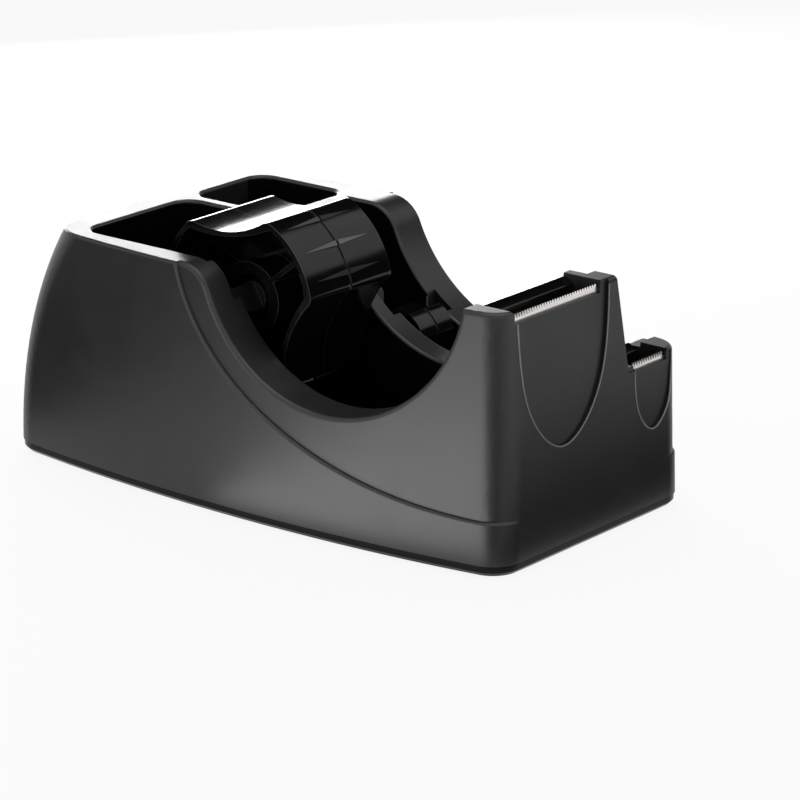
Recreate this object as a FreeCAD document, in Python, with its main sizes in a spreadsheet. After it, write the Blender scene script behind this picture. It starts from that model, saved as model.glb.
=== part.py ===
import FreeCAD, Part
import math
import os
import Sketcher

# Two-roll desk tape dispenser with storage wells and a rear drawer.
# Frame: +X towards the cutters, +Y to the narrow-roll side, +Z up, in millimetres.
# The origin lies under the middle of the bounding box, on the desk.

doc = FreeCAD.newDocument("tape_dispenser")
sheet = doc.addObject("Spreadsheet::Sheet", "sizes")

SIZES = [
    # overall body
    ("body_length", 254.0), ("body_width", 139.7), ("rear_top_z", 99.0), ("post_top_z", 103.0),
    ("side_bulge", 10.4), ("corner_front", 13.0), ("corner_rear", 16.0),
    ("side_draft", 1.1), ("front_draft", 1.1), ("shell_wall", 2.5), ("panel_step", 1.5),
    ("rear_lean_radius", 165.0), ("rear_lean_start", 8.0),
    ("top_edge_round", 2.0), ("panel_edge_round", 1.3), ("inner_edge_round", 1.5),
    # side profile: rear shoulder and the bowl, measured back from the front end and up from the rear top
    ("bowl_reach", 81.5), ("bowl_lift", 14.0), ("bowl_radius", 62.0), ("shoulder_radius", 15.0),
    ("low_top_z", 63.8), ("low_post_rise", 2.0), ("low_post_length", 15.0),
    ("low_bowl_run", 32.0), ("low_bowl_radius", 35.0), ("low_knee_radius", 5.0),
    ("divider_bowl_reach", 75.0), ("divider_bowl_lift", 19.0), ("divider_bowl_radius", 64.5),
    # sweeping panel edge: how far back from the front end, and how high, at each of its knots
    ("sweep_reach_1", 154.5), ("sweep_reach_2", 141.3), ("sweep_reach_3", 121.0),
    ("sweep_reach_4", 90.7), ("sweep_reach_5", 51.2), ("sweep_z_2", 72.6), ("sweep_z_3", 53.2),
    ("sweep_z_4", 36.9), ("sweep_z_5", 25.8), ("sweep_end_z", 23.0),
    # seams at the bottom
    ("desk_gap", 0.8), ("seam_z", 5.0), ("seam_inset", 0.5), ("cover_taper", 1.6), ("cover_plate", 2.4),
    ("cover_lip", 2.0), ("cover_lip_height", 3.0), ("fit_gap", 0.3),
    # wells, on their inner faces: walls from the outside, reaches back from the front end
    ("front_wall", 21.5), ("rear_wall", 40.0), ("step_reach", 149.0), ("step_lap", 10.0),
    ("wide_wall", 21.05), ("tray_wall", 14.35), ("tray_inner_step", 2.5), ("narrow_wall", 21.05),
    ("divider_y", 14.75), ("divider_width", 12.5), ("divider_lean", 7.5),
    ("bay_floor_z", 20.3), ("tray_floor_z", 38.0), ("narrow_reach", 163.0), ("bay_front_round", 24.0),
    ("pocket_reach", 170.0), ("pocket_rear_wall", 38.0), ("pocket_inner_step", 3.5),
    ("pocket_wall", 15.35), ("well_corner", 8.0),
    # large core and its axle
    ("core_reach", 142.2), ("core_drop", 19.15), ("core_end_gap", 4.15),
    ("core_radius", 38.1), ("core_dip_radius", 28.0), ("core_lobe_angle", 57.0), ("core_first_angle", 10.0),
    ("core_wall", 2.0), ("core_edge_round", 4.0), ("core_web", 2.0),
    ("hub_radius", 14.7), ("hub_bore", 10.0), ("hub_setback", 7.0),
    ("groove_width", 1.2), ("groove_depth", 0.6), ("spoke_wall", 1.8),
    ("bush_length", 6.0), ("bush_setback", 6.0), ("axle_radius", 6.3), ("running_gap", 0.05),
    ("axle_key_lap", 2.0), ("slot_depth", 5.0), ("slot_side_gap", 0.35), ("slot_end_gap", 0.5),
    ("slot_mouth", 5.0), ("slot_flare_drop", 12.0), ("slot_flare_rise", 8.0),
    # small core and its axle
    ("small_reach", 117.5), ("small_drop", 11.3), ("small_end_gap", 3.9), ("small_radius", 12.7),
    ("small_dip_radius", 9.6), ("small_edge_round", 1.2), ("small_wall", 1.6), ("small_axle_radius", 4.9),
    # cutters and tape rests, placed from the walls of their bays
    ("wide_cut_outer_lap", 0.7), ("wide_cut_inner_gap", 4.0), ("narrow_cut_inner_gap", 5.0),
    ("narrow_cut_outer_gap", 0.8), ("wide_sill_drop", 4.8), ("narrow_sill_drop", 2.5),
    ("blade_rise", 3.3), ("blade_height", 11.0),
    ("blade_thickness", 0.6), ("tooth_pitch", 1.75), ("tooth_height", 1.5), ("blade_end_gap", 0.4),
    ("rest_rise", 3.3), ("rest_depth", 11.0), ("rest_bar", 5.5), ("rest_groove", 5.5), ("rest_rim", 1.6),
    ("relief_depth", 1.2), ("wide_relief_outer_gap", 1.0), ("wide_relief_inner_lap", 4.3),
    ("wide_relief_z", 44.0), ("narrow_relief_inner_lap", 1.0), ("narrow_relief_outer_lap", 2.5),
    ("narrow_relief_z", 36.0),
    # ballast, feet and screws
    ("ballast_height", 9.0), ("ballast_front_gap", 30.0), ("ballast_drawer_gap", 20.1),
    ("ballast_side_gap", 22.85),
    ("pad_radius", 8.0), ("pad_height", 1.6), ("pad_fit", 0.1),
    ("pad_end_gap", 27.0), ("pad_side_gap", 23.85),
    ("screw_radius", 1.5), ("screw_length", 12.0), ("screw_head_radius", 3.0), ("screw_head_height", 1.8),
    ("boss_radius", 4.0), ("pilot_gap", 0.2),
    ("boss_end_gap", 13.5), ("boss_drawer_gap", 8.0), ("boss_mid_x", 10.0), ("boss_mid_gap", 11.35),
    # drawer
    ("drawer_width", 72.0), ("drawer_bay_gap", 10.5), ("drawer_z", 9.5), ("drawer_height", 21.0),
    ("drawer_wall", 2.0), ("drawer_front_wall", 2.6), ("drawer_gap", 0.6), ("drawer_recess", 0.4),
    ("drawer_tray_drop", 1.5), ("drawer_opening_depth", 30.0), ("pull_radius", 9.0),
    ("drawer_screw_y", 22.0), ("drawer_screw_radius", 1.0), ("drawer_screw_head_radius", 2.0),
    ("drawer_screw_head_height", 1.2), ("drawer_screw_cover", 1.0),
    ("runner_height", 5.0), ("runner_wall", 2.0), ("runner_shelf", 5.0), ("runner_setback", 2.0),
    ("runner_overrun", 1.0), ("slide_gap", 0.1),
]


def fill_sheet():
    """Write every size as plain text with its alias, one to a row."""
    for row, (alias, value) in enumerate(SIZES, start=1):
        sheet.set(f"A{row}", alias)
        sheet.set(f"B{row}", str(value))
        sheet.setAlias(f"B{row}", alias)
    doc.recompute()


fill_sheet()


def size(alias):
    """Read one size back from the sheet."""
    return float(getattr(sheet, alias))


def value(expression):
    """Work out an expression of the sheet."""
    return float(sheet.evalExpression(expression))


def point(x, y, z):
    return FreeCAD.Vector(x, y, z)


def work_out_places():
    """The positions that follow from the sizes: from an end, a side, a height or a neighbour."""
    end = size("body_length") / 2
    side = size("body_width") / 2
    top = size("rear_top_z")
    low_top = size("low_top_z")
    wide_outer = size("wide_wall") - side
    narrow_outer = side - size("narrow_wall")
    divider_left = size("divider_y") - size("divider_width") / 2
    divider_right = size("divider_y") + size("divider_width") / 2
    wide_cut_start = wide_outer - size("wide_cut_outer_lap")
    wide_cut_end = divider_left - size("wide_cut_inner_gap")
    narrow_cut_start = divider_right + size("narrow_cut_inner_gap")
    narrow_cut_end = narrow_outer - size("narrow_cut_outer_gap")
    return {
        "bowl_x": end - size("bowl_reach"),
        "bowl_z": top + size("bowl_lift"),
        "divider_bowl_x": end - size("divider_bowl_reach"),
        "divider_bowl_z": top + size("divider_bowl_lift"),
        "low_post_z": low_top + size("low_post_rise"),
        "well_front_x": end - size("front_wall"),
        "well_rear_x": size("rear_wall") - end,
        "well_step_x": end - size("step_reach"),
        "wide_outer_y": wide_outer,
        "wide_rear_outer_y": size("tray_wall") - side,
        "wide_rear_inner_y": divider_left - size("tray_inner_step"),
        "divider_left_y": divider_left,
        "divider_right_y": divider_right,
        "narrow_outer_y": narrow_outer,
        "narrow_rear_x": end - size("narrow_reach"),
        "pocket_rear_x": size("pocket_rear_wall") - end,
        "pocket_front_x": end - size("pocket_reach"),
        "pocket_left_y": divider_left + size("pocket_inner_step"),
        "pocket_right_y": side - size("pocket_wall"),
        "core_x": end - size("core_reach"),
        "core_z": top - size("core_drop"),
        "core_mid_y": (wide_outer + divider_left) / 2,
        "core_length": divider_left - wide_outer - 2 * size("core_end_gap"),
        "small_x": end - size("small_reach"),
        "small_z": low_top - size("small_drop"),
        "small_mid_y": (divider_right + narrow_outer) / 2,
        "small_length": narrow_outer - divider_right - 2 * size("small_end_gap"),
        "wide_cut_start": wide_cut_start,
        "wide_cut_end": wide_cut_end,
        "narrow_cut_start": narrow_cut_start,
        "narrow_cut_end": narrow_cut_end,
        "wide_sill_z": size("post_top_z") - size("wide_sill_drop"),
        "narrow_sill_z": low_top - size("narrow_sill_drop"),
        "wide_relief_start": wide_cut_start + size("wide_relief_outer_gap"),
        "wide_relief_end": wide_cut_end + size("wide_relief_inner_lap"),
        "narrow_relief_start": narrow_cut_start - size("narrow_relief_inner_lap"),
        "narrow_relief_end": narrow_cut_end + size("narrow_relief_outer_lap"),
    }


PLACES = work_out_places()


def place(name):
    """Read one worked-out position or length."""
    return PLACES[name]


# ---------------------------------------------------------------- shape helpers

def block(x0, x1, y0, y1, z0, z1):
    """A plain box between two corners."""
    return Part.makeBox(x1 - x0, y1 - y0, z1 - z0, point(x0, y0, z0))


def rounded_block(x0, x1, y0, y1, z0, z1, radius):
    """A box whose four upright edges are rounded."""
    solid = block(x0, x1, y0, y1, z0, z1)
    upright = [e for e in solid.Edges if abs(e.Vertexes[0].Z - e.Vertexes[1].Z) > 0.5 * (z1 - z0)]
    return solid.makeFillet(radius, upright)


def tube(x, z, outer, inner, y0, y1):
    """A tube along Y."""
    axis = point(0, 1, 0)
    return Part.makeCylinder(outer, y1 - y0, point(x, y0, z), axis).cut(
        Part.makeCylinder(inner, y1 - y0, point(x, y0, z), axis))


def side_face(edges):
    """A face in the XZ plane from edges in order."""
    return Part.Face(Part.Wire(edges))


def line(a, b):
    return Part.makeLine(a, b)


def arc(a, middle, b):
    return Part.Arc(a, middle, b).toShape()


def on_circle(x, z, radius, angle, y=0.0):
    """A point on a circle in the XZ plane, the angle counted from +X towards +Z."""
    turn = math.radians(angle)
    return point(x + radius * math.cos(turn), y, z + radius * math.sin(turn))


def extrude_y(face, y0, y1):
    """Extrude a face of the XZ plane from y0 to y1."""
    moved = face.copy()
    moved.translate(point(0, y0, 0))
    return moved.extrude(point(0, y1 - y0, 0))


# ---------------------------------------------------------------- outer form

TOP_LIMIT = 1.4 * size("post_top_z")      # above everything
SIDE_LIMIT = size("body_width")           # beyond both sides
REACH = 12.0                              # how far cutting shapes run past the body
CLEAR = 1.0                               # how far an edge lies past a level before it is counted
TOUCH = 0.01                              # how near an edge lies to a level that it is on


def plan_wire(z, inset, side_step, rear):
    """The four-sided plan outline at one height: bowed sides, flat front and rear."""
    half = size("body_length") / 2
    rise = z - size("seam_z")
    front = front_x(z) - inset
    width = size("body_width") / 2 - inset - side_step - rise * math.tan(math.radians(size("side_draft")))
    fall = size("side_bulge") / half ** 2
    front_y = width - fall * front ** 2
    rear_y = width - fall * rear ** 2
    edges = [
        arc(point(rear, -rear_y, z), point(0, -width, z), point(front, -front_y, z)),
        line(point(front, -front_y, z), point(front, front_y, z)),
        arc(point(front, front_y, z), point(0, width, z), point(rear, rear_y, z)),
        line(point(rear, rear_y, z), point(rear, -rear_y, z)),
    ]
    return Part.Wire(edges)


def upright_edges(solid, rise):
    """The edges that climb at least this far."""
    return [e for e in solid.Edges if abs(e.Vertexes[0].Z - e.Vertexes[-1].Z) > rise]


def plan_solid(z0, z1, inset=0.0, side_step=0.0, rear=None):
    """The tapered plan outline between two heights, front corners rounded. Without a rear
    position of its own it runs on behind the body, where the side profile cuts it."""
    back = -size("body_length") / 2 - REACH if rear is None else rear
    wires = [plan_wire(z, inset, side_step, back) for z in (z0, z1)]
    solid = Part.makeLoft(wires, True, True)
    front = [e for e in upright_edges(solid, 0.5 * (z1 - z0)) if e.CenterOfMass.x > 0]
    solid = solid.makeFillet(size("corner_front") - inset, front)
    if rear is not None:
        corners = [e for e in upright_edges(solid, 0.5 * (z1 - z0)) if e.CenterOfMass.x < 0]
        solid = solid.makeFillet(size("corner_rear") - inset, corners)
    return solid


def round_rear(solid, inset):
    """Round the two leaning corners between the rear face and the sides."""
    tall = upright_edges(solid, 0.5 * size("rear_top_z"))
    corners = [e for e in tall if e.CenterOfMass.x < place("well_rear_x")]
    low = [e for e in upright_edges(solid, CLEAR)
           if e.CenterOfMass.x < -size("body_length") / 2 + inset + CLEAR
           and e.CenterOfMass.z < size("rear_lean_start") and abs(e.CenterOfMass.y) > size("body_width") / 4]
    return solid.makeFillet(size("corner_rear") - inset, corners + low)


def tangent_point(centre_x, centre_z, radius, towards):
    """Where a circle meets another that it touches, along the line of centres."""
    reach = towards - point(centre_x, 0, centre_z)
    reach.normalize()
    return point(centre_x, 0, centre_z) + reach * radius


def profile_face(inset, bowl, front_top, low_side=False):
    """The side profile: leaning rear, flat top, shoulder, bowl, and the top of the front end.

    On the low side the bowl runs on level, then rises in a tighter curve to a rounded knee.
    """
    bowl_x, bowl_z, bowl_radius = bowl
    half = size("body_length") / 2
    top = size("rear_top_z")
    shoulder = size("shoulder_radius")
    lean = size("rear_lean_radius")
    lean_z = size("rear_lean_start")
    lean_x = -half + lean
    rear_low = point(-half + inset, 0, lean_z)
    rise = top - inset - lean_z
    rear_top = point(lean_x - math.sqrt((lean - inset) ** 2 - rise ** 2), 0, top - inset)
    half_turn = 0.5 * math.degrees(math.asin(rise / (lean - inset)))
    rear_mid = on_circle(lean_x, lean_z, lean - inset, 180.0 - half_turn)
    drop = top - shoulder - bowl_z
    crest = point(bowl_x - math.sqrt((bowl_radius + shoulder) ** 2 - drop ** 2), 0, top - shoulder)
    crest_top = crest + point(0, 0, shoulder - inset)
    crest_end = tangent_point(bowl_x, bowl_z, bowl_radius + inset, crest)
    crest_turn = math.degrees(math.atan2(crest_end.z - crest.z, crest_end.x - crest.x))
    crest_mid = on_circle(crest.x, crest.z, shoulder - inset, 0.5 * (90.0 + crest_turn))
    edges = [
        line(point(-half + inset, 0, -REACH), rear_low),
        arc(rear_low, rear_mid, rear_top),
        line(rear_top, crest_top),
        arc(crest_top, crest_mid, crest_end),
    ]
    bowl_low = point(bowl_x, 0, bowl_z - bowl_radius - inset)
    if low_side:
        knee_radius = size("low_knee_radius")
        rise_radius = size("low_bowl_radius")
        rise_x = bowl_x + size("low_bowl_run")
        rise_z = bowl_z - bowl_radius + rise_radius
        drop = front_top - knee_radius - rise_z
        knee = point(rise_x + math.sqrt((rise_radius + knee_radius) ** 2 - drop ** 2), 0,
                     front_top - knee_radius)
        rise_end = tangent_point(rise_x, rise_z, rise_radius + inset, knee)
        rise_turn = math.degrees(math.atan2(rise_end.z - rise_z, rise_end.x - rise_x))
        rise_mid = on_circle(rise_x, rise_z, rise_radius + inset, 0.5 * (rise_turn - 90.0))
        knee_turn = math.degrees(math.atan2(rise_end.z - knee.z, rise_end.x - knee.x)) % 360.0
        knee_mid = on_circle(knee.x, knee.z, knee_radius - inset, 0.5 * (90.0 + knee_turn))
        knee_top = knee + point(0, 0, knee_radius - inset)
        fall_turn = math.degrees(math.atan2(crest_end.z - bowl_z, crest_end.x - bowl_x)) % 360.0
        fall_mid = on_circle(bowl_x, bowl_z, bowl_radius + inset, 0.5 * (fall_turn + 270.0))
        level_end = point(rise_x, 0, bowl_low.z)
        edges.append(arc(crest_end, fall_mid, bowl_low))
        edges.append(line(bowl_low, level_end))
        edges.append(arc(level_end, rise_mid, rise_end))
        edges.append(arc(rise_end, knee_mid, knee_top))
    else:
        drop = front_top - inset - bowl_z
        run = math.sqrt((bowl_radius + inset) ** 2 - drop ** 2)
        knee_top = point(bowl_x + run, 0, front_top - inset)
        edges.append(arc(crest_end, bowl_low, knee_top))
    front_end = point(half + REACH, 0, front_top - inset)
    front_low = point(half + REACH, 0, -REACH)
    edges.append(line(knee_top, front_end))
    edges.append(line(front_end, front_low))
    edges.append(line(front_low, point(-half + inset, 0, -REACH)))
    return side_face(edges)


def height_solid(inset):
    """What limits the body from above, in three zones across: wide bay, divider, narrow bay."""
    bowl = (place("bowl_x"), place("bowl_z"), size("bowl_radius"))
    divider_bowl = (place("divider_bowl_x"), place("divider_bowl_z"), size("divider_bowl_radius"))
    left = place("divider_left_y")
    right = place("divider_right_y")
    wide = extrude_y(profile_face(inset, bowl, size("post_top_z")), -SIDE_LIMIT, left)
    divider = extrude_y(profile_face(inset, divider_bowl, size("post_top_z")), left, right)
    low = extrude_y(profile_face(inset, bowl, size("low_top_z"), True), right, SIDE_LIMIT)
    solid = wide.fuse(divider).fuse(low)
    return solid.cut(divider_side_cut(inset))


def divider_side_cut(inset):
    """The wedge that gives the tall post its leaning right side."""
    y0 = place("divider_right_y") - inset
    z0 = size("low_top_z") - inset
    lean = size("divider_lean") / (size("post_top_z") - size("low_top_z"))
    y1 = y0 - lean * (TOP_LIMIT - z0)
    x0 = place("bowl_x") + 0.5 * size("bowl_radius")
    corners = [point(x0, y0, z0), point(x0, SIDE_LIMIT, z0), point(x0, SIDE_LIMIT, TOP_LIMIT),
               point(x0, y1, TOP_LIMIT), point(x0, y0, z0)]
    return Part.Face(Part.makePolygon(corners)).extrude(point(size("body_length"), 0, 0))


def swoosh_solid():
    """Everything under the sweeping edge that runs from the rear top down to the front corner."""
    half = size("body_length") / 2
    knots = [point(half - size("sweep_reach_1"), 0, size("rear_top_z"))]
    for number in range(2, 6):
        knots.append(point(half - size(f"sweep_reach_{number}"), 0, size(f"sweep_z_{number}")))
    knots.append(point(half + REACH, 0, size("sweep_end_z")))
    sweep = Part.BSplineCurve()
    sweep.interpolate(knots)
    low = -REACH
    edges = [
        line(point(-half - REACH, 0, low), point(-half - REACH, 0, TOP_LIMIT)),
        line(point(-half - REACH, 0, TOP_LIMIT), point(knots[0].x, 0, TOP_LIMIT)),
        line(point(knots[0].x, 0, TOP_LIMIT), knots[0]),
        sweep.toShape(),
        line(knots[-1], point(knots[-1].x, 0, low)),
        line(point(knots[-1].x, 0, low), point(-half - REACH, 0, low)),
    ]
    return extrude_y(side_face(edges), -SIDE_LIMIT, SIDE_LIMIT)


def small_post():
    """The little raised end beside the narrow cutter."""
    half = size("body_length") / 2
    return block(half - size("low_post_length"), half + REACH, place("narrow_cut_end"), SIDE_LIMIT,
                 size("seam_z"), place("low_post_z"))


def face_normal(face, place):
    """The outward direction of a face at a point on it."""
    u, v = face.Surface.parameter(place)
    return face.normalAt(u, v)


def crest_edges(solid, low):
    """The edges above a height where a face of the side profile meets an upright wall."""
    level = 0.02
    upward = 0.05
    upright = 0.15
    sharp = 0.6
    chosen = []
    for edge in solid.Edges:
        if edge.Degenerated:
            continue
        middle = edge.valueAt(0.5 * (edge.FirstParameter + edge.LastParameter))
        faces = solid.ancestorsOfType(edge, Part.Face)
        if middle.z < low or len(faces) != 2:
            continue
        one, two = (face_normal(face, middle) for face in faces)
        for crest, wall in ((one, two), (two, one)):
            rises = abs(crest.y) < level and crest.z > upward
            if rises and abs(wall.z) < upright and abs(crest.dot(wall)) < sharp:
                chosen.append(edge)
                break
    return chosen


def outer_form():
    """The closed outside of the housing, before anything is hollowed out of it."""
    seam = size("seam_z")
    heights = height_solid(0.0).fuse(small_post()).removeSplitter()
    full = plan_solid(seam, TOP_LIMIT)
    slim = plan_solid(seam, TOP_LIMIT, 0.0, size("panel_step"))
    ahead = block(place("well_step_x") - 2 * size("shoulder_radius"), size("body_length"),
                  -SIDE_LIMIT, SIDE_LIMIT, seam, TOP_LIMIT)
    lower = round_rear(full.common(heights).common(swoosh_solid()).removeSplitter(), 0.0)
    lower = lower.makeFillet(size("panel_edge_round"), crest_edges(lower, seam + CLEAR))
    upper = slim.common(heights).common(ahead).removeSplitter()
    inner_margin = 3.0
    outside = 0.5 * (place("narrow_outer_y") + place("narrow_cut_end")) - inner_margin
    rims = [e for e in crest_edges(upper, seam + CLEAR)
            if abs(e.CenterOfMass.y) > outside and not isinstance(e.Curve, Part.Line)]
    upper = upper.makeFillet(size("top_edge_round"), rims)
    return lower.fuse(upper).removeSplitter()


# ---------------------------------------------------------------- housing

def bay_face(rear_x, floor_rear_z, room, grow):
    """Side section of a roll bay: the floor dips to clear a full roll on the large core."""
    floor = size("bay_floor_z") - grow
    front = place("well_front_x") + grow
    bend = size("bay_front_round") + grow
    rear = rear_x - grow
    centre = (place("core_x"), place("core_z"))
    radius = centre[1] - floor
    top = TOP_LIMIT
    bend_mid = on_circle(front - bend, floor + bend, bend, 315.0)
    edges = [line(point(rear, 0, top), point(rear, 0, floor_rear_z - grow))]
    if room:
        drop = centre[1] - (floor_rear_z - grow)
        ledge = point(centre[0] - math.sqrt(radius ** 2 - drop ** 2), 0, floor_rear_z - grow)
        start_turn = math.degrees(math.atan2(ledge.z - centre[1], ledge.x - centre[0])) % 360.0
        curve_mid = on_circle(centre[0], centre[1], radius, 0.5 * (start_turn + 270.0))
        low = point(centre[0], 0, floor)
        edges.append(line(point(rear, 0, floor_rear_z - grow), ledge))
        edges.append(arc(ledge, curve_mid, low))
        edges.append(line(low, point(front - bend, 0, floor)))
    else:
        edges.append(line(point(rear, 0, floor_rear_z - grow), point(front - bend, 0, floor)))
    edges.append(arc(point(front - bend, 0, floor), bend_mid, point(front, 0, floor + bend)))
    edges.append(line(point(front, 0, floor + bend), point(front, 0, top)))
    edges.append(line(point(front, 0, top), point(rear, 0, top)))
    return side_face(edges)


def wide_well(grow):
    """The wide bay with the open tray behind it."""
    face = bay_face(place("well_rear_x"), size("tray_floor_z"), True, grow)
    solid = extrude_y(face, -SIDE_LIMIT, SIDE_LIMIT)
    corner = size("well_corner") + grow
    tray = rounded_block(place("well_rear_x") - grow, place("well_step_x") + grow + 2 * corner,
                         place("wide_rear_outer_y") - grow, place("wide_rear_inner_y") + grow,
                         0, TOP_LIMIT, corner)
    tray = tray.common(block(-size("body_length"), place("well_step_x") + grow, -SIDE_LIMIT, SIDE_LIMIT,
                             0, TOP_LIMIT))
    bay = block(place("well_step_x") - size("step_lap") - grow, place("well_front_x") + grow,
                place("wide_outer_y") - grow, place("divider_left_y") + grow, 0, TOP_LIMIT)
    return solid.common(tray.fuse(bay))


def narrow_well(grow):
    """The narrow bay, with a flat floor."""
    face = bay_face(place("narrow_rear_x"), size("bay_floor_z"), False, grow)
    return extrude_y(face, place("divider_right_y") - grow, place("narrow_outer_y") + grow)


def pocket(grow):
    """The closed pocket behind the narrow bay."""
    return rounded_block(place("pocket_rear_x") - grow, place("pocket_front_x") + grow,
                         place("pocket_left_y") - grow, place("pocket_right_y") + grow,
                         size("tray_floor_z") - grow, TOP_LIMIT, size("well_corner") + grow)


def slot(x, half_width, floor_z, mouth, y0, y1, grow):
    """One axle slot: straight sides, flat floor and a flared mouth, sunk into a bay wall."""
    base = floor_z - grow
    wide = half_width + grow
    flare_z = size("rear_top_z") - size("slot_flare_drop")
    corners = [point(x - wide, y0, base), point(x + wide, y0, base)]
    if mouth > 0:
        corners.append(point(x + wide, y0, flare_z))
        corners.append(point(x + wide, y0, TOP_LIMIT))
        corners.append(point(x - wide - mouth, y0, TOP_LIMIT))
        corners.append(point(x - wide - mouth, y0, flare_z + size("slot_flare_rise")))
        corners.append(point(x - wide, y0, flare_z))
    else:
        corners.append(point(x + wide, y0, TOP_LIMIT))
        corners.append(point(x - wide, y0, TOP_LIMIT))
    corners.append(corners[0])
    return Part.Face(Part.makePolygon(corners)).extrude(point(0, y1 - y0, 0))


def axle_half(radius):
    """Half the side of the three-cornered axle end."""
    return radius * math.sin(math.radians(60.0))


def axle_seat_z(centre_z, radius):
    """The height of the flat side that the axle rests on."""
    return centre_z - radius * math.cos(math.radians(60.0))


def slots(grow):
    """The four axle slots: two for the large core, two for the small one."""
    depth = size("slot_depth") + grow
    gap = size("slot_side_gap")
    large = axle_half(size("axle_radius")) + gap
    little = axle_half(size("small_axle_radius")) + gap
    large_z = axle_seat_z(place("core_z"), size("axle_radius"))
    little_z = axle_seat_z(place("small_z"), size("small_axle_radius"))
    mouth = size("slot_mouth")
    start = place("wide_outer_y")
    end = place("divider_left_y")
    near = place("divider_right_y")
    far = place("narrow_outer_y")
    shapes = [
        slot(place("core_x"), large, large_z, mouth, start - depth, start, grow),
        slot(place("core_x"), large, large_z, mouth, end, end + depth, grow),
        slot(place("small_x"), little, little_z, 0.0, near - depth, near, grow),
        slot(place("small_x"), little, little_z, 0.0, far, far + depth, grow),
    ]
    return shapes[0].multiFuse(shapes[1:])


def rest_seats(grow):
    """The two open seats in the top of the front wall, where the tape rests drop in."""
    rear = place("well_front_x") - grow
    seats = []
    for kind in ("wide", "narrow"):
        base = place(kind + "_sill_z") - size("rest_depth") - grow
        front = seat_front_x(kind)
        seats.append(block(rear, front + grow, place(kind + "_cut_start") - grow,
                           place(kind + "_cut_end") + grow, base, TOP_LIMIT))
    return seats[0].fuse(seats[1])


def front_x(z):
    """The front face at one height: it leans back from the seam up."""
    rise = z - size("seam_z")
    return size("body_length") / 2 - rise * math.tan(math.radians(size("front_draft")))


def seat_front_x(kind):
    """The inner face of the front wall behind one cutter."""
    return front_x(place(kind + "_sill_z")) - size("shell_wall")


def open_wells(grow):
    """The two bays with the tray, and the pocket, or with grow the outside of their walls."""
    return wide_well(grow).multiFuse([narrow_well(grow), pocket(grow)])


def wells(grow):
    """Everything open from above: the wells, the axle slots and the tape rest seats."""
    return open_wells(grow).multiFuse([slots(grow), rest_seats(grow)])


def inner_rims(solid):
    """The edges round the mouths of the wells, behind the front wall."""
    outside = 0.5 * (place("wide_outer_y") - size("body_width") / 2)
    floor_margin = 5.0
    length_margin = 0.6
    shortest = 2 * size("inner_edge_round") - length_margin
    return [e for e in crest_edges(solid, size("tray_floor_z") + floor_margin)
            if abs(e.CenterOfMass.y) < -outside and e.CenterOfMass.x < place("well_front_x") - CLEAR
            and e.Length > shortest]


def sill_cuts():
    """The front wall cut down to the two sills, so that the cutters stand clear."""
    cuts = []
    half = size("body_length") / 2
    for kind in ("wide", "narrow"):
        cuts.append(block(place("well_front_x"), half + REACH, place(kind + "_cut_start"),
                          place(kind + "_cut_end"), place(kind + "_sill_z"), TOP_LIMIT))
    return cuts[0].fuse(cuts[1])


def relief(kind):
    """The shallow U-shaped relief in the front face under one cutter."""
    start = place(kind + "_relief_start")
    end = place(kind + "_relief_end")
    low = size(kind + "_relief_z")
    sill = place(kind + "_sill_z") + REACH
    middle = 0.5 * (start + end)
    curve = Part.BSplineCurve()
    width = 0.5 * (end - start)
    rise = place(kind + "_sill_z") - low
    shoulder_in = 0.05 * width
    shoulder_z = low + 0.72 * rise
    belly_out = 0.60 * width
    belly_z = low + 0.20 * rise
    curve.interpolate([
        point(0, start, sill), point(0, start + shoulder_in, shoulder_z),
        point(0, middle - belly_out, belly_z), point(0, middle, low),
        point(0, middle + belly_out, belly_z), point(0, end - shoulder_in, shoulder_z),
        point(0, end, sill)])
    outline = Part.Face(Part.Wire([curve.toShape(), line(point(0, end, sill), point(0, start, sill))]))
    depth = size("relief_depth")
    prism = outline.extrude(point(size("body_length"), 0, 0))
    corners = [point(front_x(0) - depth, -SIDE_LIMIT, 0),
               point(front_x(TOP_LIMIT) - depth, -SIDE_LIMIT, TOP_LIMIT),
               point(front_x(0) + REACH, -SIDE_LIMIT, TOP_LIMIT), point(front_x(0) + REACH, -SIDE_LIMIT, 0),
               point(front_x(0) - depth, -SIDE_LIMIT, 0)]
    skin = Part.Face(Part.makePolygon(corners)).extrude(point(0, 2 * SIDE_LIMIT, 0))
    return prism.common(skin)


def boss_expressions():
    """Where the six base screws stand, as sheet expressions."""
    end = "(sizes.body_length / 2 - sizes.boss_end_gap)"
    end_y = "(sizes.drawer_width / 2 + sizes.boss_drawer_gap)"
    mid_y = "(sizes.body_width / 2 - sizes.boss_mid_gap)"
    found = []
    for sign in ("-1", "1"):
        found.append((end, f"{sign} * {end_y}"))
        found.append(("sizes.boss_mid_x", f"{sign} * {mid_y}"))
        found.append((f"-1 * {end}", f"{sign} * {end_y}"))
    return found


def boss_places():
    """The same six places, worked out."""
    return [(value(x), value(y)) for x, y in boss_expressions()]


def drawer_opening():
    """The opening in the rear wall that the drawer front fills."""
    gap = size("drawer_gap")
    half = size("drawer_width") / 2 + size("drawer_front_wall") + gap
    return block(-size("body_length"), size("drawer_opening_depth") - size("body_length") / 2, -half, half,
                 size("drawer_z") - 2 * gap, size("drawer_z") + size("drawer_height") + gap)


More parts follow.
